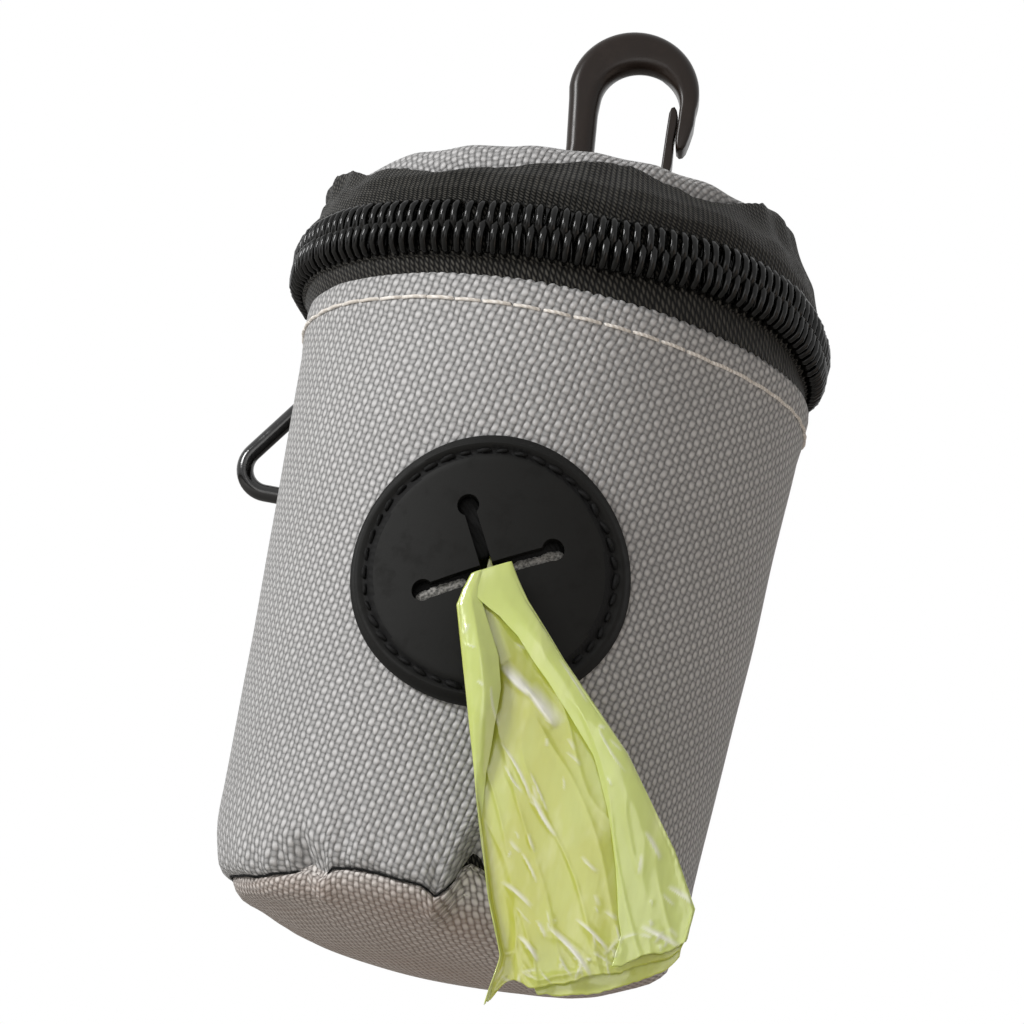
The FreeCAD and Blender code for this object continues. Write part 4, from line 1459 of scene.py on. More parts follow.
@dataclass
class Lid:
    """The padded dome, the zip tape gathered over its edge, its lining and the fabric hinge.

    The crown is the dome's (radius, height) profile. The guide gives the tape's radius at each height, and the edge
    line the height of its upper edge at angles from the front. The tape leaves the plain zip at the shoulder.
    """

    chain: Zip
    height: float = 89.0
    lid_span: float = 136.0
    shoulder: float = 75.0
    fold_turn: float = -87.0
    crown: Profile = ((0, 87.4), (3, 87.38), (6, 87.25), (10, 86.98), (14, 86.17), (18, 85.08), (20.7, 84.23),
                      (22.8, 83.4), (23.8, 82.6), (24.35, 81.3), (24.4, 79.6), (24.2, 78.4))
    guide: Profile = ((72.15, 27.45), (74.6, 27.6), (76.4, 27.85), (78.4, 27.3), (80.2, 26.2), (81.6, 25.3),
                      (82.7, 24.6), (83.4, 23.9), (83.9, 22.8), (84.65, 20.7), (85.5, 18.0))
    edge_line: Profile = (
        (-180, 80.0), (-136, 80.6), (-110, 82.0), (-92, 83.2), (-78, 83.6), (-66, 83.0), (-60, 82.0), (-52, 80.3),
        (-46, 80.5), (-39, 79.8), (-29, 78.5), (-22, 79.1), (-13, 79.8), (-4, 80.9), (8, 82.0), (14, 81.8), (20, 81.0),
        (25, 80.8), (29, 80.0), (34, 80.1), (43, 81.4), (50, 82.3), (60, 83.6), (75, 84.2), (95, 83.6), (115, 81.8),
        (136, 80.6), (180, 80.0))

    def lean(self, turn: float, radius: float, height: float) -> Pair:
        """How the lid sits to the left of the pouch and tips up at the right.

        Args:
            turn, radius, height: the point before.

        Returns:
            The changes of radius and height.
        """
        share = rise(height, 75, 7)
        side = math.sin(math.radians(turn))
        whole = smooth_step(radius / 10)
        return -2.1 * side * share * whole, 0.07 * radius * side * share

    def shape_dome(self, turn: float, radius: float, height: float) -> Point:
        """Push a point of the dome about: soft dents, and gathers at its edge.

        Args:
            turn, radius, height: the point before.

        Returns:
            The point after.
        """
        angle = math.radians(turn)
        share = radius / 24
        dent = 0.12 * rough_round(turn, share * 1.9, 1.0, 3)
        gather = 0.16 * math.sin(17 * angle + 3 * math.sin(2 * angle)) * rise(share, 0.75, 0.25)
        out, up = self.lean(turn, radius, height)
        return turn, radius + out, height + dent * 0.7 + gather + up

    def crown_at(self, radius: float) -> float:
        """Height of the dome's cloth at a radius."""
        return read(self.crown[:9], radius)

    def dome(self) -> None:
        """Build the dome's cloth, foam and lining."""
        over, cloth_edge, thick = list(self.crown), 82.8, 0.55
        under = [(max(0.0, r - thick), z) if z < cloth_edge else (max(0.0, r - 0.2 * r / 24), z - thick)
                 for r, z in over]
        cloth = lathe("lid_cloth", over + under[::-1], 0.9, 360, self.shape_dome, closed=False, level=True)
        self.close_rim(cloth)
        settle(cloth, Place.LID, Finish.SHELL, "lid_panel")
        for name, top, thickness, finish, node in (("lid_foam", 0.75, 1.7, Finish.FOAM, "lid_foam_pad"),
                                                   ("lid_inner_cloth", 2.55, 0.4, Finish.LINING, "lid_lining")):
            upper = [(r, self.crown_at(r) - top) for r in (0.0, 4.0, 8.0, 12.0, 15.0, 18.0, 20.0, 21.5, 22.6)]
            lower = [(r, z - thickness) for r, z in upper]
            layer = lathe(name, upper + lower[::-1], 2.0, 120, self.shape_dome, closed=False)
            settle(layer, Place.LID, finish, node)

    def close_rim(self, piece: Piece) -> None:
        """Fill any ring of open edges that a profile left, and face the piece outwards."""
        with editing(piece) as work:
            open_edges = [edge for edge in work.edges if edge.is_boundary]
            if open_edges:
                bmesh.ops.holes_fill(work, edges=open_edges)
            bmesh.ops.recalc_face_normals(work, faces=work.faces)

    def shape_tape(self, turn: float, inset: float, height: float) -> Point:
        """Lay the upper tape over the dome's shoulder up to its wavy edge.

        Args:
            turn: angle from the front.
            inset: how far the point lies behind the tape's face, as a negative length.
            height: the point's height if the tape ran up to the guide's end.

        Returns:
            The point's angle, radius and height.
        """
        angle, low, left = math.radians(turn), self.shoulder, turn_gap(turn, self.fold_turn)
        edge = read(self.edge_line, turn_gap(turn, 0)) - 0.9 * bump(left, 0, 26)
        share = max(0.0, height - low) / (self.guide[-1][0] - low)
        tall = height if height < low else low + (edge + 0.25 * rough(turn / 2.3, 4.0) - low) * share
        radius = read(self.guide, tall)
        pucker = 0.2 * math.sin(23 * angle + 2 * math.sin(5 * angle)) * rise(tall, 76, 4)
        slow = 0.25 * rough_round(turn, 3.1, tall / 3) * rise(tall, 75.5, 3)
        roll = 1.5 * bump(left, 0, 32) * bump(tall, 74.8, 1.1)
        fold = bump(left, 0, 26) * bump(tall, 82.7, 1.6)
        right = 0.7 * near(turn, 72, 26) * rise(tall, 80, 3)
        out, up = self.lean(turn, radius, tall)
        foot = 1 - rise(tall, 73.5, 3)
        out += self.chain.across(turn) * (1 - rise(tall, low, 7))
        up += self.chain.sway(turn) * (1 - rise(tall, 76, 5))
        slope = rise(tall, 80.5, 3)
        return (turn, radius + inset * (1 - 0.7 * slope) + out + (pucker + slow) * (1 - foot) + roll + 1.7 * fold,
                tall + inset * 0.7 * slope + up + 0.8 * fold * slope + right)

    def tape(self) -> None:
        """Build the tape from the upper teeth over the dome's edge."""
        low, top = self.guide[0][0], self.guide[-1][0]
        face = [(0.0, low), (0.0, top - 0.1), (-0.12, top), (-0.34, top), (-0.46, top - 0.1), (-0.46, low)]
        skirt = lathe("upper_tape", face, 0.45, 460, self.shape_tape, (-self.lid_span, self.lid_span))
        settle(skirt, Place.LID, Finish.TAPE, "upper_zip_tape")
        back = [(r, max(z, 76.5)) for r, z in face]
        rest = lathe("upper_tape_back", back, 0.45, 140, self.shape_tape, (self.lid_span, 360 - self.lid_span))
        settle(rest, Place.LID, Finish.TAPE, "upper_zip_tape")
        foot = self.height - 9.8
        binding = lathe("lid_seam_binding", [(22.3, foot), (23.4, foot), (23.6, foot + 0.5), (23.3, foot + 1.2),
                                             (22.4, foot + 1.25), (22.15, foot + 0.6)], 0.6, 240)
        settle(binding, Place.LID, Finish.TAPE, "lid_binding")

    def shape_seam(self, turn: float, radius: float, height: float) -> Point:
        """Carry a point of the seam band from the binding, under the dome's edge, out to the tape.

        Args:
            turn, radius, height: the point before.

        Returns:
            The point after.
        """
        share = (radius - 22.0) / 5.0
        _, rim, low = self.shape_dome(turn, 24.3, 78.05)
        _, tape, high = self.shape_tape(turn, -0.35, 80.5)
        across = read(((0, 22.3), (0.45, rim), (1, tape)), share)
        level = read(((0, 79.1), (0.2, 78.6), (0.45, low), (1, high)), share)
        return turn, across, level + height

    def seam_band(self) -> None:
        """Build the gathered band that joins the dome's edge to the tape from inside."""
        band = lathe("lid_seam_band", [(22.0, 0.0), (27.0, 0.0), (27.0, 0.3), (22.0, 0.3)], 0.5, 300, self.shape_seam)
        settle(band, Place.LID, Finish.TAPE, "lid_binding")

    def bridge(self) -> None:
        """Build the fabric hinge between the pouch and the lid."""
        for name, foot, turns, span in (("hinge_cloth", 71.5, 60, (158, 202)),
                                        ("hinge_cloth_left", 72.2, 40, (202.2, 223.5)),
                                        ("hinge_cloth_right", 72.2, 40, (136.5, 157.8))):
            profile = [(26.5, foot), (27.2, foot), (27.3, 74.0), (27.45, 76.0), (27.7, 77.4), (27.1, 77.6),
                       (26.8, 76.0), (26.6, 74.0)]
            piece = lathe(name, profile, 0.35, turns, None, span)
            piece.data.materials.append(Finish.TAPE.material())
            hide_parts("back_bridge")
            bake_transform(piece)
            log.info("%s: bends between the pouch and the lid", piece.name)

    def build(self) -> None:
        """Build everything."""
        self.dome()
        self.tape()
        self.seam_band()
        self.bridge()


# ---- patch and bag


@dataclass
class Patch:
    """The rubber disc with its turned cross slit and its ring of sunk stitches.

    The slit's sides are how far each arm opens under and over its own line, from the right arm round to the lowest.
    """

    repeater: Repeater
    shell: Shell
    height: float = 36.8
    radius: float = 13.8
    thickness: float = 1.5
    turn: float = 28.0
    reach: float = 6.8
    slit_sides: Sequence[Pair] = ((1.05, 0.5), (0.62, 0.62), (0.5, 1.05), (0.45, 0.45))
    end_radius: float = 1.12
    stitch_radius: float = 12.1
    stitch_length: float = 1.3

    def on_wall(self, x: float, z: float, lift: float) -> Point:
        """The point in front of the wall at (x, z).

        Args:
            x: place to the side.
            z: height.
            lift: how far the point stands off the wall.

        Returns:
            The point.
        """
        radius = self.shell.radius_at(z)
        out = math.sqrt(max(radius * radius - x * x, 1.0))
        return x * (1 + lift / radius), -out * (1 + lift / radius), z

    def relief(self, radius: float) -> float:
        """Thickness of the disc at a distance from its middle: a rounded rim, and a groove that the stitches lie in."""
        rim = fall(radius, self.radius, 1.1)
        groove = bump(radius, self.stitch_radius, 0.48)
        inside = 0.14 * fall(radius, self.stitch_radius, 0.8)
        return self.thickness * (0.45 + 0.55 * rim) - 0.55 * groove - inside

    def disc(self) -> None:
        """Build the disc and cut the slit out of it."""
        coarse, fine, underside, count = 0.8, 0.22, 0.02, 160
        rings = [coarse * k for k in range(1, 13)] + [10.2 + fine * k for k in range(1, 14)]
        rings += [13.2, 13.45, 13.65, self.radius]
        points, flat = [self.on_wall(0, self.height, self.relief(0))], [(0.0, 0.0)]
        levels = [(r, self.relief(r)) for r in rings] + [(self.radius, 0.25), (self.radius - 0.1, underside)]
        for radius, lift in levels:
            for k in range(count):
                x, z = turned(radius, 0.0, math.tau * k / count)
                points.append(self.on_wall(x, self.height + z, lift))
                flat.append((x, z))
        points.append(self.on_wall(0, self.height, underside))
        flat.append((0.0, 0.0))
        faces = [[0, 1 + k, 1 + (k + 1) % count] for k in range(count)]
        faces += [[1 + i for i in face] for face in grid_faces(len(levels), count, wrap_columns=True)]
        last, start = len(points) - 1, 1 + (len(levels) - 1) * count
        faces += [[last, start + (k + 1) % count, start + k] for k in range(count)]
        disc = mesh_piece("rubber_patch", points, faces, flat)
        tidy(disc)
        cut_away(disc, post(self.cross(), -34.0, -20.0, 1))
        disc.data.materials.clear()
        for finish in (Finish.SILICONE, Finish.SILICONE, Finish.DARK_THREAD):
            disc.data.materials.append(finish.material())
        shade(disc, SHARP_ROUNDED)
        # Faces in the stitch groove take the black thread's material: painted shade that darkens the groove.
        for polygon in disc.data.polygons:
            spot = np.array(polygon.center) * METRE - HANG
            if abs(math.hypot(spot[0], spot[2] - self.height) - self.stitch_radius) < 0.42 and spot[1] < -20:
                polygon.material_index = 2
        settle(disc, Place.POUCH, Finish.SILICONE, "dispenser_patch")

    def cross(self) -> list[Pair]:
        """Outline of the cross slit with its round ends, seen from the front."""
        outline = []
        for arm, (under, over) in enumerate(self.slit_sides):
            facing = math.radians(self.turn + 90 * arm)
            first, last = -(math.pi - math.asin(under / self.end_radius)), math.pi - math.asin(over / self.end_radius)
            local = [(self.reach + self.end_radius * math.cos(a), self.end_radius * math.sin(a))
                     for a in np.linspace(first, last, 19)]
            local.append((self.slit_sides[(arm + 1) % 4][0], over))
            outline += [(x, self.height + z) for x, z in (turned(*spot, facing) for spot in local)]
        return outline

    def backing_strips(self) -> None:
        """Lay the strips that close the slit's arms from behind: fluffy grey cut cloth under rubber lips, and black
        strips of painted shadow.
        """
        # The grey strips are cut cloth; the black ones are painted shadow, a dark fill where the slit's sides are in
        # shade.
        grey, black = (2.2, 5.5, 0.3, Finish.LINT), (1.3, 6.7, 0.0, Finish.DARK_THREAD)
        for name, arm, middle, half, lift, tall, (start, length, rag, finish) in (
                ("slit_fluff_right", 0, -0.58, 0.66, 0.3, 0.45, grey),
                ("slit_fluff_left", 2, 0.58, 0.66, 0.3, 0.45, grey),
                ("slit_lip_right", 0, 0.3, 0.95, -0.05, 0.25, black),
                ("slit_lip_left", 2, -0.3, 0.95, -0.05, 0.25, black),
                ("slit_lip_top", 1, 0.0, 1.15, 0.0, 0.3, black)):
            facing = math.radians(self.turn + 90 * arm)
            points, rows, columns = [], 40, 12
            for i in range(rows):
                along = start + length * i / (rows - 1)
                for j in range(columns):
                    angle = math.tau * j / columns
                    fluff = 1 + rag * rough(along * 2.6, math.cos(angle) * 1.5, math.sin(angle) * 1.5 + arm)
                    end = math.sqrt(max(0.0, 1 - (2 * i / (rows - 1) - 1) ** 8))
                    x, z = turned(along, middle + half * math.cos(angle) * fluff * end, facing)
                    points.append(self.on_wall(x, self.height + z, lift + tall * math.sin(angle) * fluff * end))
            strip = mesh_piece(name, points, grid_faces(rows, columns, wrap_columns=True, capped=True))
            tidy(strip)
            settle(strip, Place.POUCH, finish)

    def stitches(self) -> None:
        """Sew the ring of black stitches in the groove."""
        count = round(math.tau * self.stitch_radius / (self.stitch_length + 0.5))
        unit = stitch_unit("patch_stitch", self.stitch_length / 2, (0.08, 0.16), (0.16, 0.22, 0.25))
        row = Row()
        for k in range(count):
            spots = []
            for shift in (-0.02, 0.0, 0.02):
                x, z = turned(self.stitch_radius, 0.0, math.tau * k / count + shift)
                spots.append(self.on_wall(x, self.height + z, self.relief(self.stitch_radius) + 0.06))
            row.add(spots[1], tuple(np.subtract(spots[2], spots[0])), (spots[1][0], spots[1][1], 0.0))
        ring = self.repeater.run("patch_stitches", row, unit, Finish.DARK_THREAD, 0.25, 14.0, 5)
        settle(ring, Place.POUCH, Finish.DARK_THREAD)

    def build(self) -> None:
        """Build everything."""
        self.disc()
        self.stitches()
        self.backing_strips()


Crease = tuple[float, float, float, float, float, float]


@dataclass
class BagTail:
    """The end of the next bag: film drawn out of the slit, with its two sides folded over its middle.

    The rows run from the slit to the hem. Across, a row runs from the left flap's free edge round the left fold,
    along the back, round the right fold and back to the right flap's free edge. The left and right lines give the
    side edges' (x, z) at the shares of the way down in downs, and the flap lines each flap's width as a share of the
    row. The hem
    line gives the hem's height across the row, and the far hem is the far wall's (x, z) end. A crease is its two
    ends, (x, z) each, then its height and its width.
    """

    front: float = -30.75
    back: float = -28.7
    thickness: float = 0.07
    rows: int = 225
    columns: int = 190
    downs: Sequence[float] = (0, 0.04, 0.1, 0.28, 0.55, 0.78, 0.92, 1)
    left: Profile = ((-1.4, 35.5), (-1.9, 33.8), (-2.2, 32.1), (0.1, 24.9), (3.7, 13.4), (6.8, 4.1), (9.0, -1.0),
                     (9.2, -3.2))
    right: Profile = ((2.5, 37.6), (3.5, 36.0), (5.0, 33.9), (9.7, 28.6), (17.6, 20.7), (24.0, 12.3), (26.9, 7.2),
                      (26.7, 4.2))
    left_flap: Profile = ((0, 0.42), (0.1, 0.38), (0.17, 0.39), (0.24, 0.4), (0.32, 0.34), (0.4, 0.22), (0.5, 0.1),
                          (0.6, 0.03), (1, 0.015))
    right_flap: Profile = ((0, 0.9), (0.08, 0.72), (0.14, 0.48), (0.2, 0.36), (0.33, 0.27), (0.42, 0.24), (0.53, 0.22),
                           (0.66, 0.27), (0.77, 0.33), (0.88, 0.38), (1, 0.4))
    hem_line: Profile = ((0, 0), (0.07, -0.4), (0.2, -1.6), (0.35, -2.0), (0.6, -1.9), (0.75, -1.8), (0.9, -1.5),
                         (0.96, -0.8), (1, 0.6))
    far_hem: Profile = ((11.9, -1.6), (13.2, -3.8), (15.5, -3.7), (19.2, -2.6), (21.4, -1.4), (25.0, 0.8), (26.0, 2.4))
    short_creases: int = 60
    creases: Sequence[Crease] = (
        (3.5, 27.0, 7.2, 24.4, 0.6, 1.3), (6.3, 25.3, 10.1, 21.9, 0.6, 1.6), (4.6, 26.7, 8.9, 23.5, 0.35, 0.8),
        (5.0, 19.4, 9.1, 14.2, 0.25, 0.35), (5.8, 17.3, 8.0, 15.0, 0.2, 0.3), (8.9, 15.1, 12.1, 11.3, 0.3, 0.45),
        (8.3, 17.2, 10.8, 13.6, 0.2, 0.25), (9.1, 9.2, 11.1, 6.6, 0.2, 0.3), (12.9, 2.6, 18.1, -1.4, 0.4, 0.6),
        (7.8, 6.0, 11.1, 4.1, 0.25, 0.5), (21.8, 4.3, 25.9, 3.1, 0.3, 0.6), (3.0, 24.5, 4.4, 21.0, 0.15, 0.3),
        (20.4, 13.4, 22.4, 11.0, 0.2, 0.5), (15.5, 3.8, 19.4, 1.2, 0.3, 0.4), (10.4, 1.2, 12.8, -1.0, 0.3, 0.5),
        (9.0, 28.4, 12.6, 24.6, 0.15, 0.35), (14.0, 22.6, 17.6, 18.6, 0.15, 0.3), (23.6, 8.6, 26.4, 7.4, 0.2, 0.6),
    )

    def between(self, down: float, share: float) -> Pair:
        """The place at a share of the way down and a share of the way from the left edge to the right."""
        (x0, z0), (x1, z1) = ([float(np.interp(down, self.downs, places)) for places in zip(*line)]
                              for line in (self.left, self.right))
        return x0 + (x1 - x0) * share, z0 + (z1 - z0) * share

    def section(self, down: float) -> tuple[list[float], list[float], list[float]]:
        """Places across one row, as shares from the left edge to the right, with their depth and their layer.

        Args:
            down: share of the way from the slit to the hem.

        Returns:
            The shares, the depths from 0 at the back to 1 at the front, and 0 for the middle or 3 and 6 for a flap.
        """
        left, right = read(self.left_flap, down), read(self.right_flap, down)
        stand = 0.35 + 0.65 * smooth_step(down / 0.25)
        flat_left = 1 - 0.85 * rise(down, 0.34, 0.24)
        flat_right = 1 - 0.66 * rise(down, 0.45, 0.4)
        path = [(left, 0.52 * flat_left), (left * 0.55, 0.95 * flat_left), (left * 0.2, 0.8 * flat_left),
                (0.0, 0.45), (0.035, 0.1), (left * 0.6, 0.0), (0.3, 0.05), (0.5, 0.12), (0.68, 0.05),
                (0.965, 0.08), (1.0, 0.4), (1 - right * 0.12, 0.7 * flat_right), (1 - right * 0.5, 0.85 * flat_right),
                (1 - right, 0.75 * flat_right)]
        spots = np.array(path)
        spots[:, 1] *= stand
        runs = np.concatenate(([0], np.cumsum(np.hypot(*(np.diff(spots, axis=0) * [1, 0.1]).T))))
        wanted = np.linspace(0, runs[-1], self.columns)
        layers = np.interp(wanted, [runs[2], runs[4], runs[9], runs[11]], [3.0, 0.0, 0.0, 6.0])
        soft = np.hanning(17) / np.hanning(17).sum()
        shares, depths = (np.convolve(np.pad(np.interp(wanted, runs, line), 8, mode="edge"), soft, "valid")
                          for line in spots.T)
        return shares.tolist(), depths.tolist(), layers.tolist()

    def waves(self, x: float, z: float, layer: float) -> float:
        """Height of the film's soft waves, with short folds near the hem.

        Args:
            x: place to the side.
            z: height.
            layer: number that sets each layer's waves apart.

        Returns:
            The waves' height.
        """
        along, over = x * 0.43 - z * 0.9, x * 0.9 + z * 0.43
        broad = rough(over / 5.5, along / 22, layer)
        streak = (1 - abs(rough(over / 3.4 + 0.5 * broad, along / 17, layer + 5))) ** 10
        low = fall(z, 7.0, 9)
        folds = (1 - abs(rough(over / 4.5 + 0.8 * broad, along / 3.2, layer + 9))) ** 6
        return 0.45 * broad + 0.15 * streak + 0.28 * folds * low

    def crease_lines(self) -> list[Crease]:
        """The sharp creases: the long ones as listed and many short ones that crowd towards the hem."""
        pick, lines = np.random.default_rng(11), list(self.creases)
        for _ in range(self.short_creases):
            down = 1 - 0.85 * pick.random() ** 2.2
            share, lean, length = pick.random(), math.radians(pick.normal(-45, 40)), pick.uniform(0.5, 2.4)
            x, z = self.between(down, share)
            lines.append((x, z, x + length * math.cos(lean), z + length * math.sin(lean), pick.uniform(0.06, 0.16),
                          pick.uniform(0.2, 0.5)))
        return lines

    def creases_with_painted_highlights(self, x: np.ndarray, z: np.ndarray) -> tuple[np.ndarray, np.ndarray]:
        """Height of the sharp creases at each place, and the share of painted highlight there.

        Args:
            x: places across, in millimetres.
            z: heights, in millimetres.

        Returns:
            The heights and the painted highlight shares, one of each per place.
        """
        height, white = np.zeros_like(x), np.zeros_like(x)
        for x0, z0, x1, z1, tall, width in self.crease_lines():
            run_x, run_z = x1 - x0, z1 - z0
            length = math.hypot(run_x, run_z)
            share = ((x - x0) * run_x + (z - z0) * run_z) / (length * length)
            bow = (0.05 * math.sin(x0 * 7 + z0) * length) * (1 - (2 * share - 1) ** 2)
            aside = ((x - x0) * run_z - (z - z0) * run_x) / length - bow
            ends = np.clip(1 - (2 * share - 1) ** 2, 0, 1)
            height += tall * ends * np.exp(-1.6 * np.abs(aside) / width)
            # Painted highlight along each crease, wider on one side, as on the face towards the light.
            lit = np.where(aside < 0, -aside / (0.75 * width), aside / (0.2 * width))
            white = np.maximum(white, min(1.0, 2.2 * tall + 0.25) * ends ** 0.7 * np.clip(1.2 - lit, 0, 1))
        return height, white

    def finish_film(self, film: Piece, **values: Sequence[float]) -> None:
        """Give a film the numbers that its colour follows, its material and its thickness to both sides.

        Args:
            film: the object, one surface thick.
            values: a number for each of its points, by the attribute's name.
        """
        for name, numbers in values.items():
            film.data.attributes.new(name, "FLOAT", "POINT").data.foreach_set("value", np.asarray(numbers, float))
        film.data.materials.append(Finish.FILM.material())
        add_modifier(film, "SOLIDIFY", thickness=self.thickness / METRE, offset=0)

    def neck(self) -> Piece:
        """Build the gathered film in the slit, between the pouch and the bag's end."""
        points, rows, columns = [], 26, 44
        for i in range(rows):
            down = i / (rows - 1)
            for j in range(columns):
                share = j / (columns - 1)
                gather = 0.16 * math.sin(7 * math.pi * share + 0.6 * math.sin(5 * share))
                points.append((-1.1 + 3.0 * share + (-0.3 + 2.3 * share) * down,
                               -27.4 - 1.6 * smooth_step(down / 0.35) + gather,
                               36.0 + 0.9 * share - (3.7 - 0.4 * share) * down))
        strip = mesh_piece("bag_neck", points, grid_faces(rows, columns))
        self.finish_film(strip, layers=[0.7] * len(points))
        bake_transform(strip)
        log.info("%s: draws out between the pouch and the tail", strip.name)
        return strip

    def near_wall(self) -> tuple[list[Point], list[float]]:
        """The folded film in front.

        Returns:
            Its points, row by row, and each one's share of the flaps' colour.
        """
        points, shades = [], []
        for i in range(self.rows):
            down = i / (self.rows - 1)
            hem, drop = rise(down, 0.93, 0.07), smooth_step(down / 0.2)
            for share, depth, layer in zip(*self.section(down)):
                x, z = self.between(down, share)
                belly = read(self.hem_line, share) * (1.0 - 0.4 * min(1.0, layer / 3))
                ragged = hem * (0.4 * rough(share * 7, layer) + 0.15 * rough(share * 31, layer + 2))
                ragged += belly * rise(down, 0.7, 0.3)
                tip = 2.8 * hem * bump(share, 0.0, 0.05)
                y = self.back + (self.front - self.back) * depth - 0.6 * self.waves(x, z, layer) * drop
                y += drop * rise(x, 16, 12)
                points.append((x - 0.25 * tip, y, z + ragged - tip))
                shades.append(min(1.0, layer / 3))
        return points, shades

    def far_wall(self, rows: int, columns: int) -> list[Point]:
        """Points of the far wall's end, row by row, which shows behind the hem."""
        points, reach = [], 4.5
        for i in range(rows):
            for x in np.linspace(self.far_hem[0][0], self.far_hem[-1][0], columns):
                z = read(self.far_hem, x) + 0.2 * rough(x * 1.3, 4.0) + reach * i / (rows - 1)
                points.append((x, self.back + 0.35 + rise(x, 16, 12) - 0.4 * rough(x / 3, z / 3), z))
        return points

    def build(self) -> None:
        points, shades = self.near_wall()
        far, first, far_shade = (24, 80), len(points), 0.35
        faces = grid_faces(self.rows, self.columns)
        faces += [[first + k for k in face] for face in grid_faces(*far)]
        points += self.far_wall(*far)
        shades += [far_shade] * (len(points) - first)
        spots = np.array(points)
        height, white = self.creases_with_painted_highlights(spots[:, 0], spots[:, 2])
        spots[:, 1] -= 0.55 * height
        film = mesh_piece("bag_end", spots.tolist(), faces)
        self.finish_film(film, crease=white, layers=shades)
        self.neck()
        settle(film, Place.TAIL, Finish.FILM, "bag_tail")


# ---- hook, strap, clip and roll


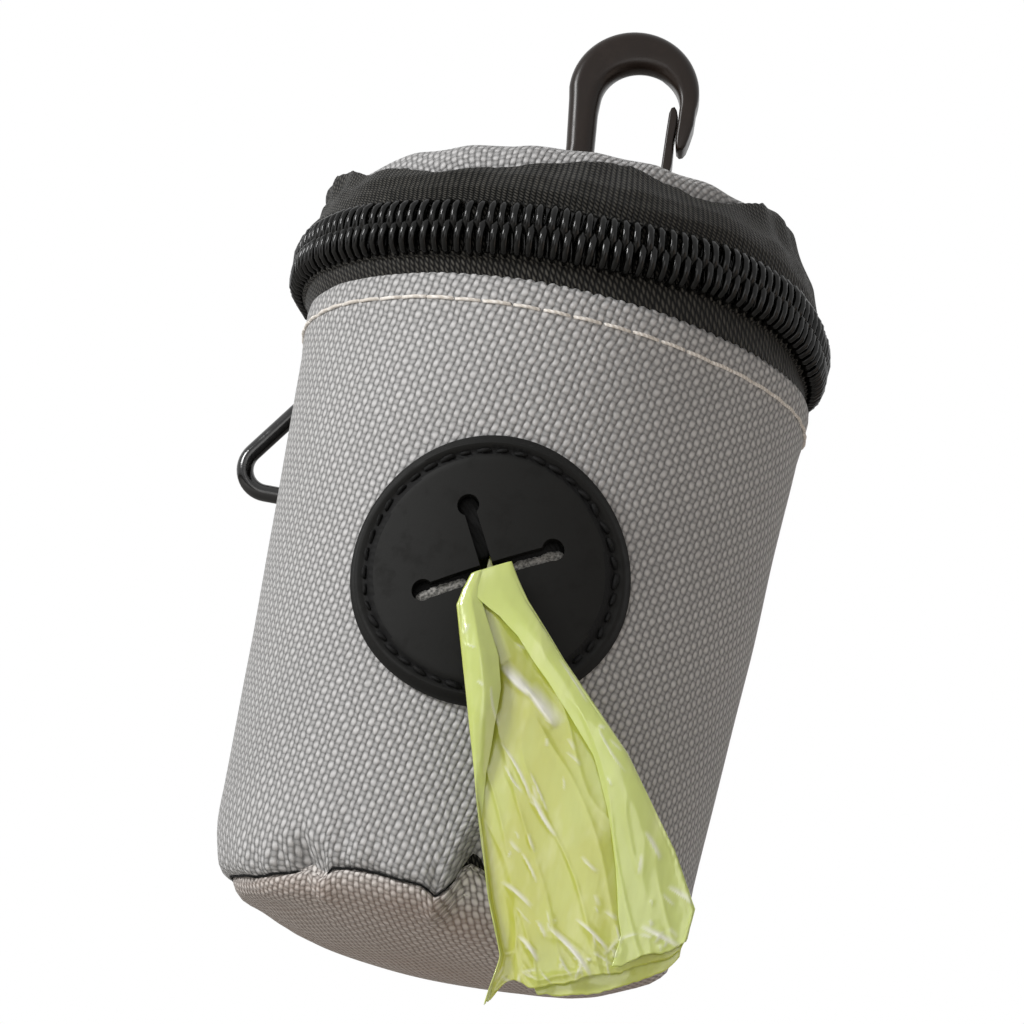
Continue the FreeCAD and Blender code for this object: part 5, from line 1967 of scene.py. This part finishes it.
@dataclass
class Carry:
    """Webbing strap, swivel, snap hook with its gate, and the wire clip on its tab.

    The hook lies in the plane Y = plane. Its crown is a circle about the point crown.
    """

    repeater: Repeater
    plane: float = 31.5
    crown: Pair = (-1.1, 111.75)
    crown_reach: float = 7.8
    stitch_pitch: float = 1.95
    arc_steps: int = 7

    def plate(self, name: str, outline: Profile, thickness: float,
              rounding: Callable[[float, float], float]) -> Piece:
        """A moulded bar with a rounded section that lies in the hook's plane.

        Args:
            name: the piece's name.
            outline: (x, z) corners in millimetres, clockwise as seen from the front.
            thickness: its thickness in millimetres.
            rounding: radius of its edges at a place.

        Returns:
            The bar.
        """
        corners = np.array(outline, float)
        ahead = np.roll(corners, -1, axis=0) - np.roll(corners, 1, axis=0)
        ahead /= np.linalg.norm(ahead, axis=1)[:, None]
        inward = np.stack([ahead[:, 1], -ahead[:, 0]], axis=1)
        radii = np.array([min(rounding(x, z), thickness / 2) for x, z in outline])
        rings = []
        for side, first, last in ((-1.0, 90, 0), (1.0, 0, 90)):
            for angle in np.radians(np.linspace(first, last, self.arc_steps)):
                inset = radii * (1 - math.cos(angle))
                depth = thickness / 2 - radii * (1 - math.sin(angle))
                flat = corners + inward * inset[:, None]
                rings.append([(x, self.plane + side * d, z) for (x, z), d in zip(flat, depth)])
        count = len(corners)
        points = [spot for ring in rings for spot in ring]
        piece = mesh_piece(name, points, grid_faces(len(rings), count, wrap_columns=True, capped=True))
        tidy(piece, 1e-6)
        shade(piece, 60)
        return piece

    def hook_outline(self) -> list[Pair]:
        """Corners of the hook: up its stem, over the crown, round the nose and back along the inside."""
        outer = [(-3.6, 87.35), (-4.6, 88.0), (-6.2, 90.6), (-6.8, 94.5), (-7.3, 99.0), (-7.75, 103.7),
                 (-8.3, 107.6), (-8.6, 109.7)]
        outer += [(self.crown[0] + self.crown_reach * math.cos(a), self.crown[1] + self.crown_reach * math.sin(a))
                  for a in np.linspace(math.radians(184), math.radians(-8), 48)]
        nose = [(6.7, 108.6), (6.5, 107.0), (6.3, 105.9), (6.0, 105.35), (5.6, 105.2), (5.2, 105.5), (5.0, 106.2),
                (4.9, 107.2), (4.85, 108.6)]
        arch = [(-0.07 + 4.77 * math.cos(a), 110.2 + 4.45 * math.sin(a))
                for a in np.linspace(0.02, math.radians(180), 34)]
        stem = [(-4.85, 108.4), (-4.45, 104.6), (-4.0, 100.0), (-3.7, 97.0), (-3.0, 95.8), (-1.5, 95.5), (1.2, 95.5),
                (2.1, 95.9), (2.6, 96.8), (3.1, 97.7), (3.9, 98.1), (4.8, 98.0), (5.4, 97.4), (5.65, 96.3), (5.6, 93.0),
                (5.4, 91.0), (4.6, 88.4), (3.6, 87.35)]
        return outer + nose + arch + stem

    def gate_outline(self) -> list[Pair]:
        """Corners of the springy gate: a strip that widens to a block against the nose."""
        left = [(4.15, 95.2), (4.05, 98.5), (3.9, 103.0), (3.65, 107.5), (3.55, 109.8), (3.7, 110.5), (4.05, 110.7)]
        right = [(4.4, 110.3), (4.7, 109.5), (4.8, 108.4), (4.78, 106.4), (4.95, 105.0), (5.1, 103.6), (4.95, 100.0),
                 (5.1, 95.2)]
        return left + right

    @staticmethod
    def hook_rounding(x: float, z: float) -> float:
        """Radius of the hook's edges, smaller towards its nose and its foot."""
        nose = rise(z, 109.5, 6.5) if x > 2 else 1.0
        foot = rise(z, 96.0, 6)
        return 0.4 + 1.0 * min(nose, foot)

    def build(self) -> None:
        """Dress every piece."""
        for name, outline, thickness, rounding, body, node in (
                ("hook_body", self.hook_outline(), 3.5, self.hook_rounding, Place.HOOK, "snap_hook"),
                ("hook_gate_bar", self.gate_outline(), 2.6, lambda x, z: 0.3, Place.GATE, "hook_gate")):
            settle(self.plate(name, outline, thickness, rounding), body, Finish.HOOK, node)
        for name, node, body, finish, bevel in (
                ("swivel_yoke", "swivel_base", Place.SWIVEL, Finish.HOOK, 0.45),
                ("hook_pin", "gate_pin", Place.HOOK, Finish.WIRE, 0.0),
                ("clip_loop", "clip_wire", Place.CLIP, Finish.WIRE, 0.0),
                ("clip_gate_bar", "clip_gate", Place.LEVER, Finish.WIRE, 0.0),
                ("strap_webbing", "back_strap", Place.POUCH, Finish.WEBBING, 0.3),
                ("clip_tab", "side_tab", Place.POUCH, Finish.WEBBING, 0.3)):
            piece = copy_node(name, node, bevel)
            if name == "strap_webbing":
                self.sew_strap(piece)
            settle(piece, body, finish, node)

    def sew_strap(self, strap: Piece) -> None:
        """Sew a box of stitches through the strap where it lies on the wall."""
        face = max(v.co.y * METRE - HANG[1] for v in strap.data.vertices if v.co.z * METRE - HANG[2] < 55)
        half, low, high, row = 4.6, 45.8, 61.4, Row()
        corners = [(-half, low), (half, low), (half, high), (-half, high), (-half, low)]
        for (x0, z0), (x1, z1) in zip(corners, corners[1:]):
            length = math.hypot(x1 - x0, z1 - z0)
            count = round(length / self.stitch_pitch)
            for k in range(count):
                share = (k + 0.5) / count
                row.add((x0 + (x1 - x0) * share, face + 0.05, z0 + (z1 - z0) * share),
                        ((x1 - x0) / length, 0.0, (z1 - z0) / length), (0.0, 1.0, 0.0))
        unit = stitch_unit("strap_stitch", 0.85, (0.04, 0.1), (0.14, 0.2, 0.22), shoulder=0.7 / 0.85)
        sewing = self.repeater.run("strap_stitches", row, unit, Finish.DARK_THREAD, 0.05, 3.0, 9)
        settle(sewing, Place.POUCH, Finish.DARK_THREAD, slot="black_webbing")


@dataclass
class Roll:
    """The roll of bags on its core, and the film that leads to the slit."""

    radius: float = 17.4
    bore: float = 7.05
    low: float = 7.7
    high: float = 65.5

    def build(self) -> None:
        """Build the roll, its core and the feed."""
        outline = [(self.bore, self.low), (self.radius, self.low), (self.radius, self.high), (self.bore, self.high)]
        roll = lathe("bag_roll_film", outline, 0.7, 160,
                     lambda turn, r, z: (turn, r - 0.12 * abs(rough(turn / 14, z / 9)), z + 0.25 * rough(r * 2.1, 3.0)))
        settle(roll, Place.ROLL, Finish.FILM, "bag_roll")
        core = lathe("roll_tube", [(6.05, 7.6), (6.95, 7.6), (6.95, 67.6), (6.05, 67.6)], 3.0, 72)
        settle(core, Place.ROLL, Finish.CARD, "roll_core")
        settle(copy_node("film_feed", "bag_feed"), Place.POUCH, Finish.FILM, "bag_feed")


# ---- studio


@dataclass
class Studio:
    """Floor far below the hanging pouch, soft lamps, white surroundings and the camera."""

    eye: Point = (39.689, -384.889, -50.575)
    ahead: Point = (-0.1035, 0.9623, 0.2517)
    right: Point = (0.97838, 0.05296, 0.19991)
    lens: float = 131.08
    floor_drop: float = 75.0

    def camera(self) -> None:
        """Set the camera, which looks up at the pouch from below its base."""
        data = bpy.data.cameras.new("camera")
        data.lens = self.lens
        data.sensor_width = 36
        data.clip_start = 0.01
        camera = linked("camera", data)
        forward = Vector(self.ahead).normalized()
        side = (Vector(self.right) - forward * forward.dot(Vector(self.right))).normalized()
        up = side.cross(forward)
        turn = Matrix((side, up, -forward)).transposed().to_4x4()
        camera.matrix_world = Matrix.Translation(Vector(hung(*self.eye))) @ turn
        bpy.context.scene.camera = camera

    def lamp(self, name: str, place: Point, aim: Point, size: float, power: float, tint: Point = (1, 1, 1)) -> None:
        """Add a square soft lamp.

        Args:
            name: its name.
            place: where it stands, in the pouch's millimetres.
            aim: what it points at.
            size: its side in millimetres.
            power: its strength in watts.
            tint: its colour.
        """
        data = bpy.data.lights.new(name, "AREA")
        data.shape = "SQUARE"
        data.size = size / METRE
        data.energy = power
        data.color = tint
        lamp = linked(name, data)
        start, end = Vector(hung(*place)), Vector(hung(*aim))
        lamp.matrix_world = Matrix.Translation(start) @ (end - start).to_track_quat("-Z", "Y").to_matrix().to_4x4()

    def surroundings(self) -> None:
        """White to the camera, in reflections and through glass, and a plain even light on the object."""
        world = bpy.data.worlds.new("surroundings")
        world.use_nodes = True
        bpy.context.scene.world = world
        sky = Tree(world.node_tree)
        light = sky.tree.nodes["Background"]
        light.inputs["Color"].default_value = (1.0, 0.97, 0.94, 1.0)
        light.inputs["Strength"].default_value = 0.2
        white = sky.node("ShaderNodeBackground", ("Color", (1, 1, 1, 1)))
        rays = sky.node("ShaderNodeLightPath").outputs
        seen = rays["Is Camera Ray"]
        for ray in ("Is Transmission Ray", "Is Glossy Ray"):
            seen = sky.node("ShaderNodeMath", (0, seen), (1, rays[ray]), operation="MAXIMUM").outputs[0]
        mixed = sky.node("ShaderNodeMixShader", (0, seen), (1, light.outputs[0]), (2, white.outputs[0]))
        sky.feed(sky.tree.nodes["World Output"].inputs[0], mixed.outputs[0])

    def floor(self) -> None:
        """Lay the pale floor well below the base, under the camera's line of sight."""
        low, reach = -self.floor_drop, 1500.0
        corners = [(-reach, -reach, low), (reach, -reach, low), (reach, reach, low), (-reach, reach, low)]
        floor = mesh_piece("studio_floor", corners, [[0, 1, 2, 3]], smooth=False)
        s = Shading("pale_floor")
        shade_of = s.noise(s.place(), 3.0, 2)
        floor.data.materials.append(s.surface(Base_Color=s.mix(shade_of, 0xECEAE6, 0xE4E2DE), Roughness=0.9))

    def build(self) -> None:
        """Set everything."""
        self.camera()
        self.surroundings()
        self.floor()
        self.lamp("key", (-460, -290, 260), (0, 0, 45), 170, 2.7)
        self.lamp("front_fill", (-60, -560, 60), (0, 0, 45), 300, 0.5, (1.0, 0.98, 0.96))
        self.lamp("warm_low", (260, -160, -40), (0, 0, 20), 220, 0.14, (1.0, 0.8, 0.66))
        bpy.context.scene.view_settings.view_transform = "Standard"


def main() -> None:
    """Build the studio and every sub-assembly, in order."""
    repeater = Repeater()
    shell, chain = Shell(repeater), Zip(repeater)
    for part in (Studio(), shell, chain, Lid(chain), Patch(repeater, shell), BagTail(), Carry(repeater), Roll()):
        part.build()


if __name__ == "__main__":
    main()
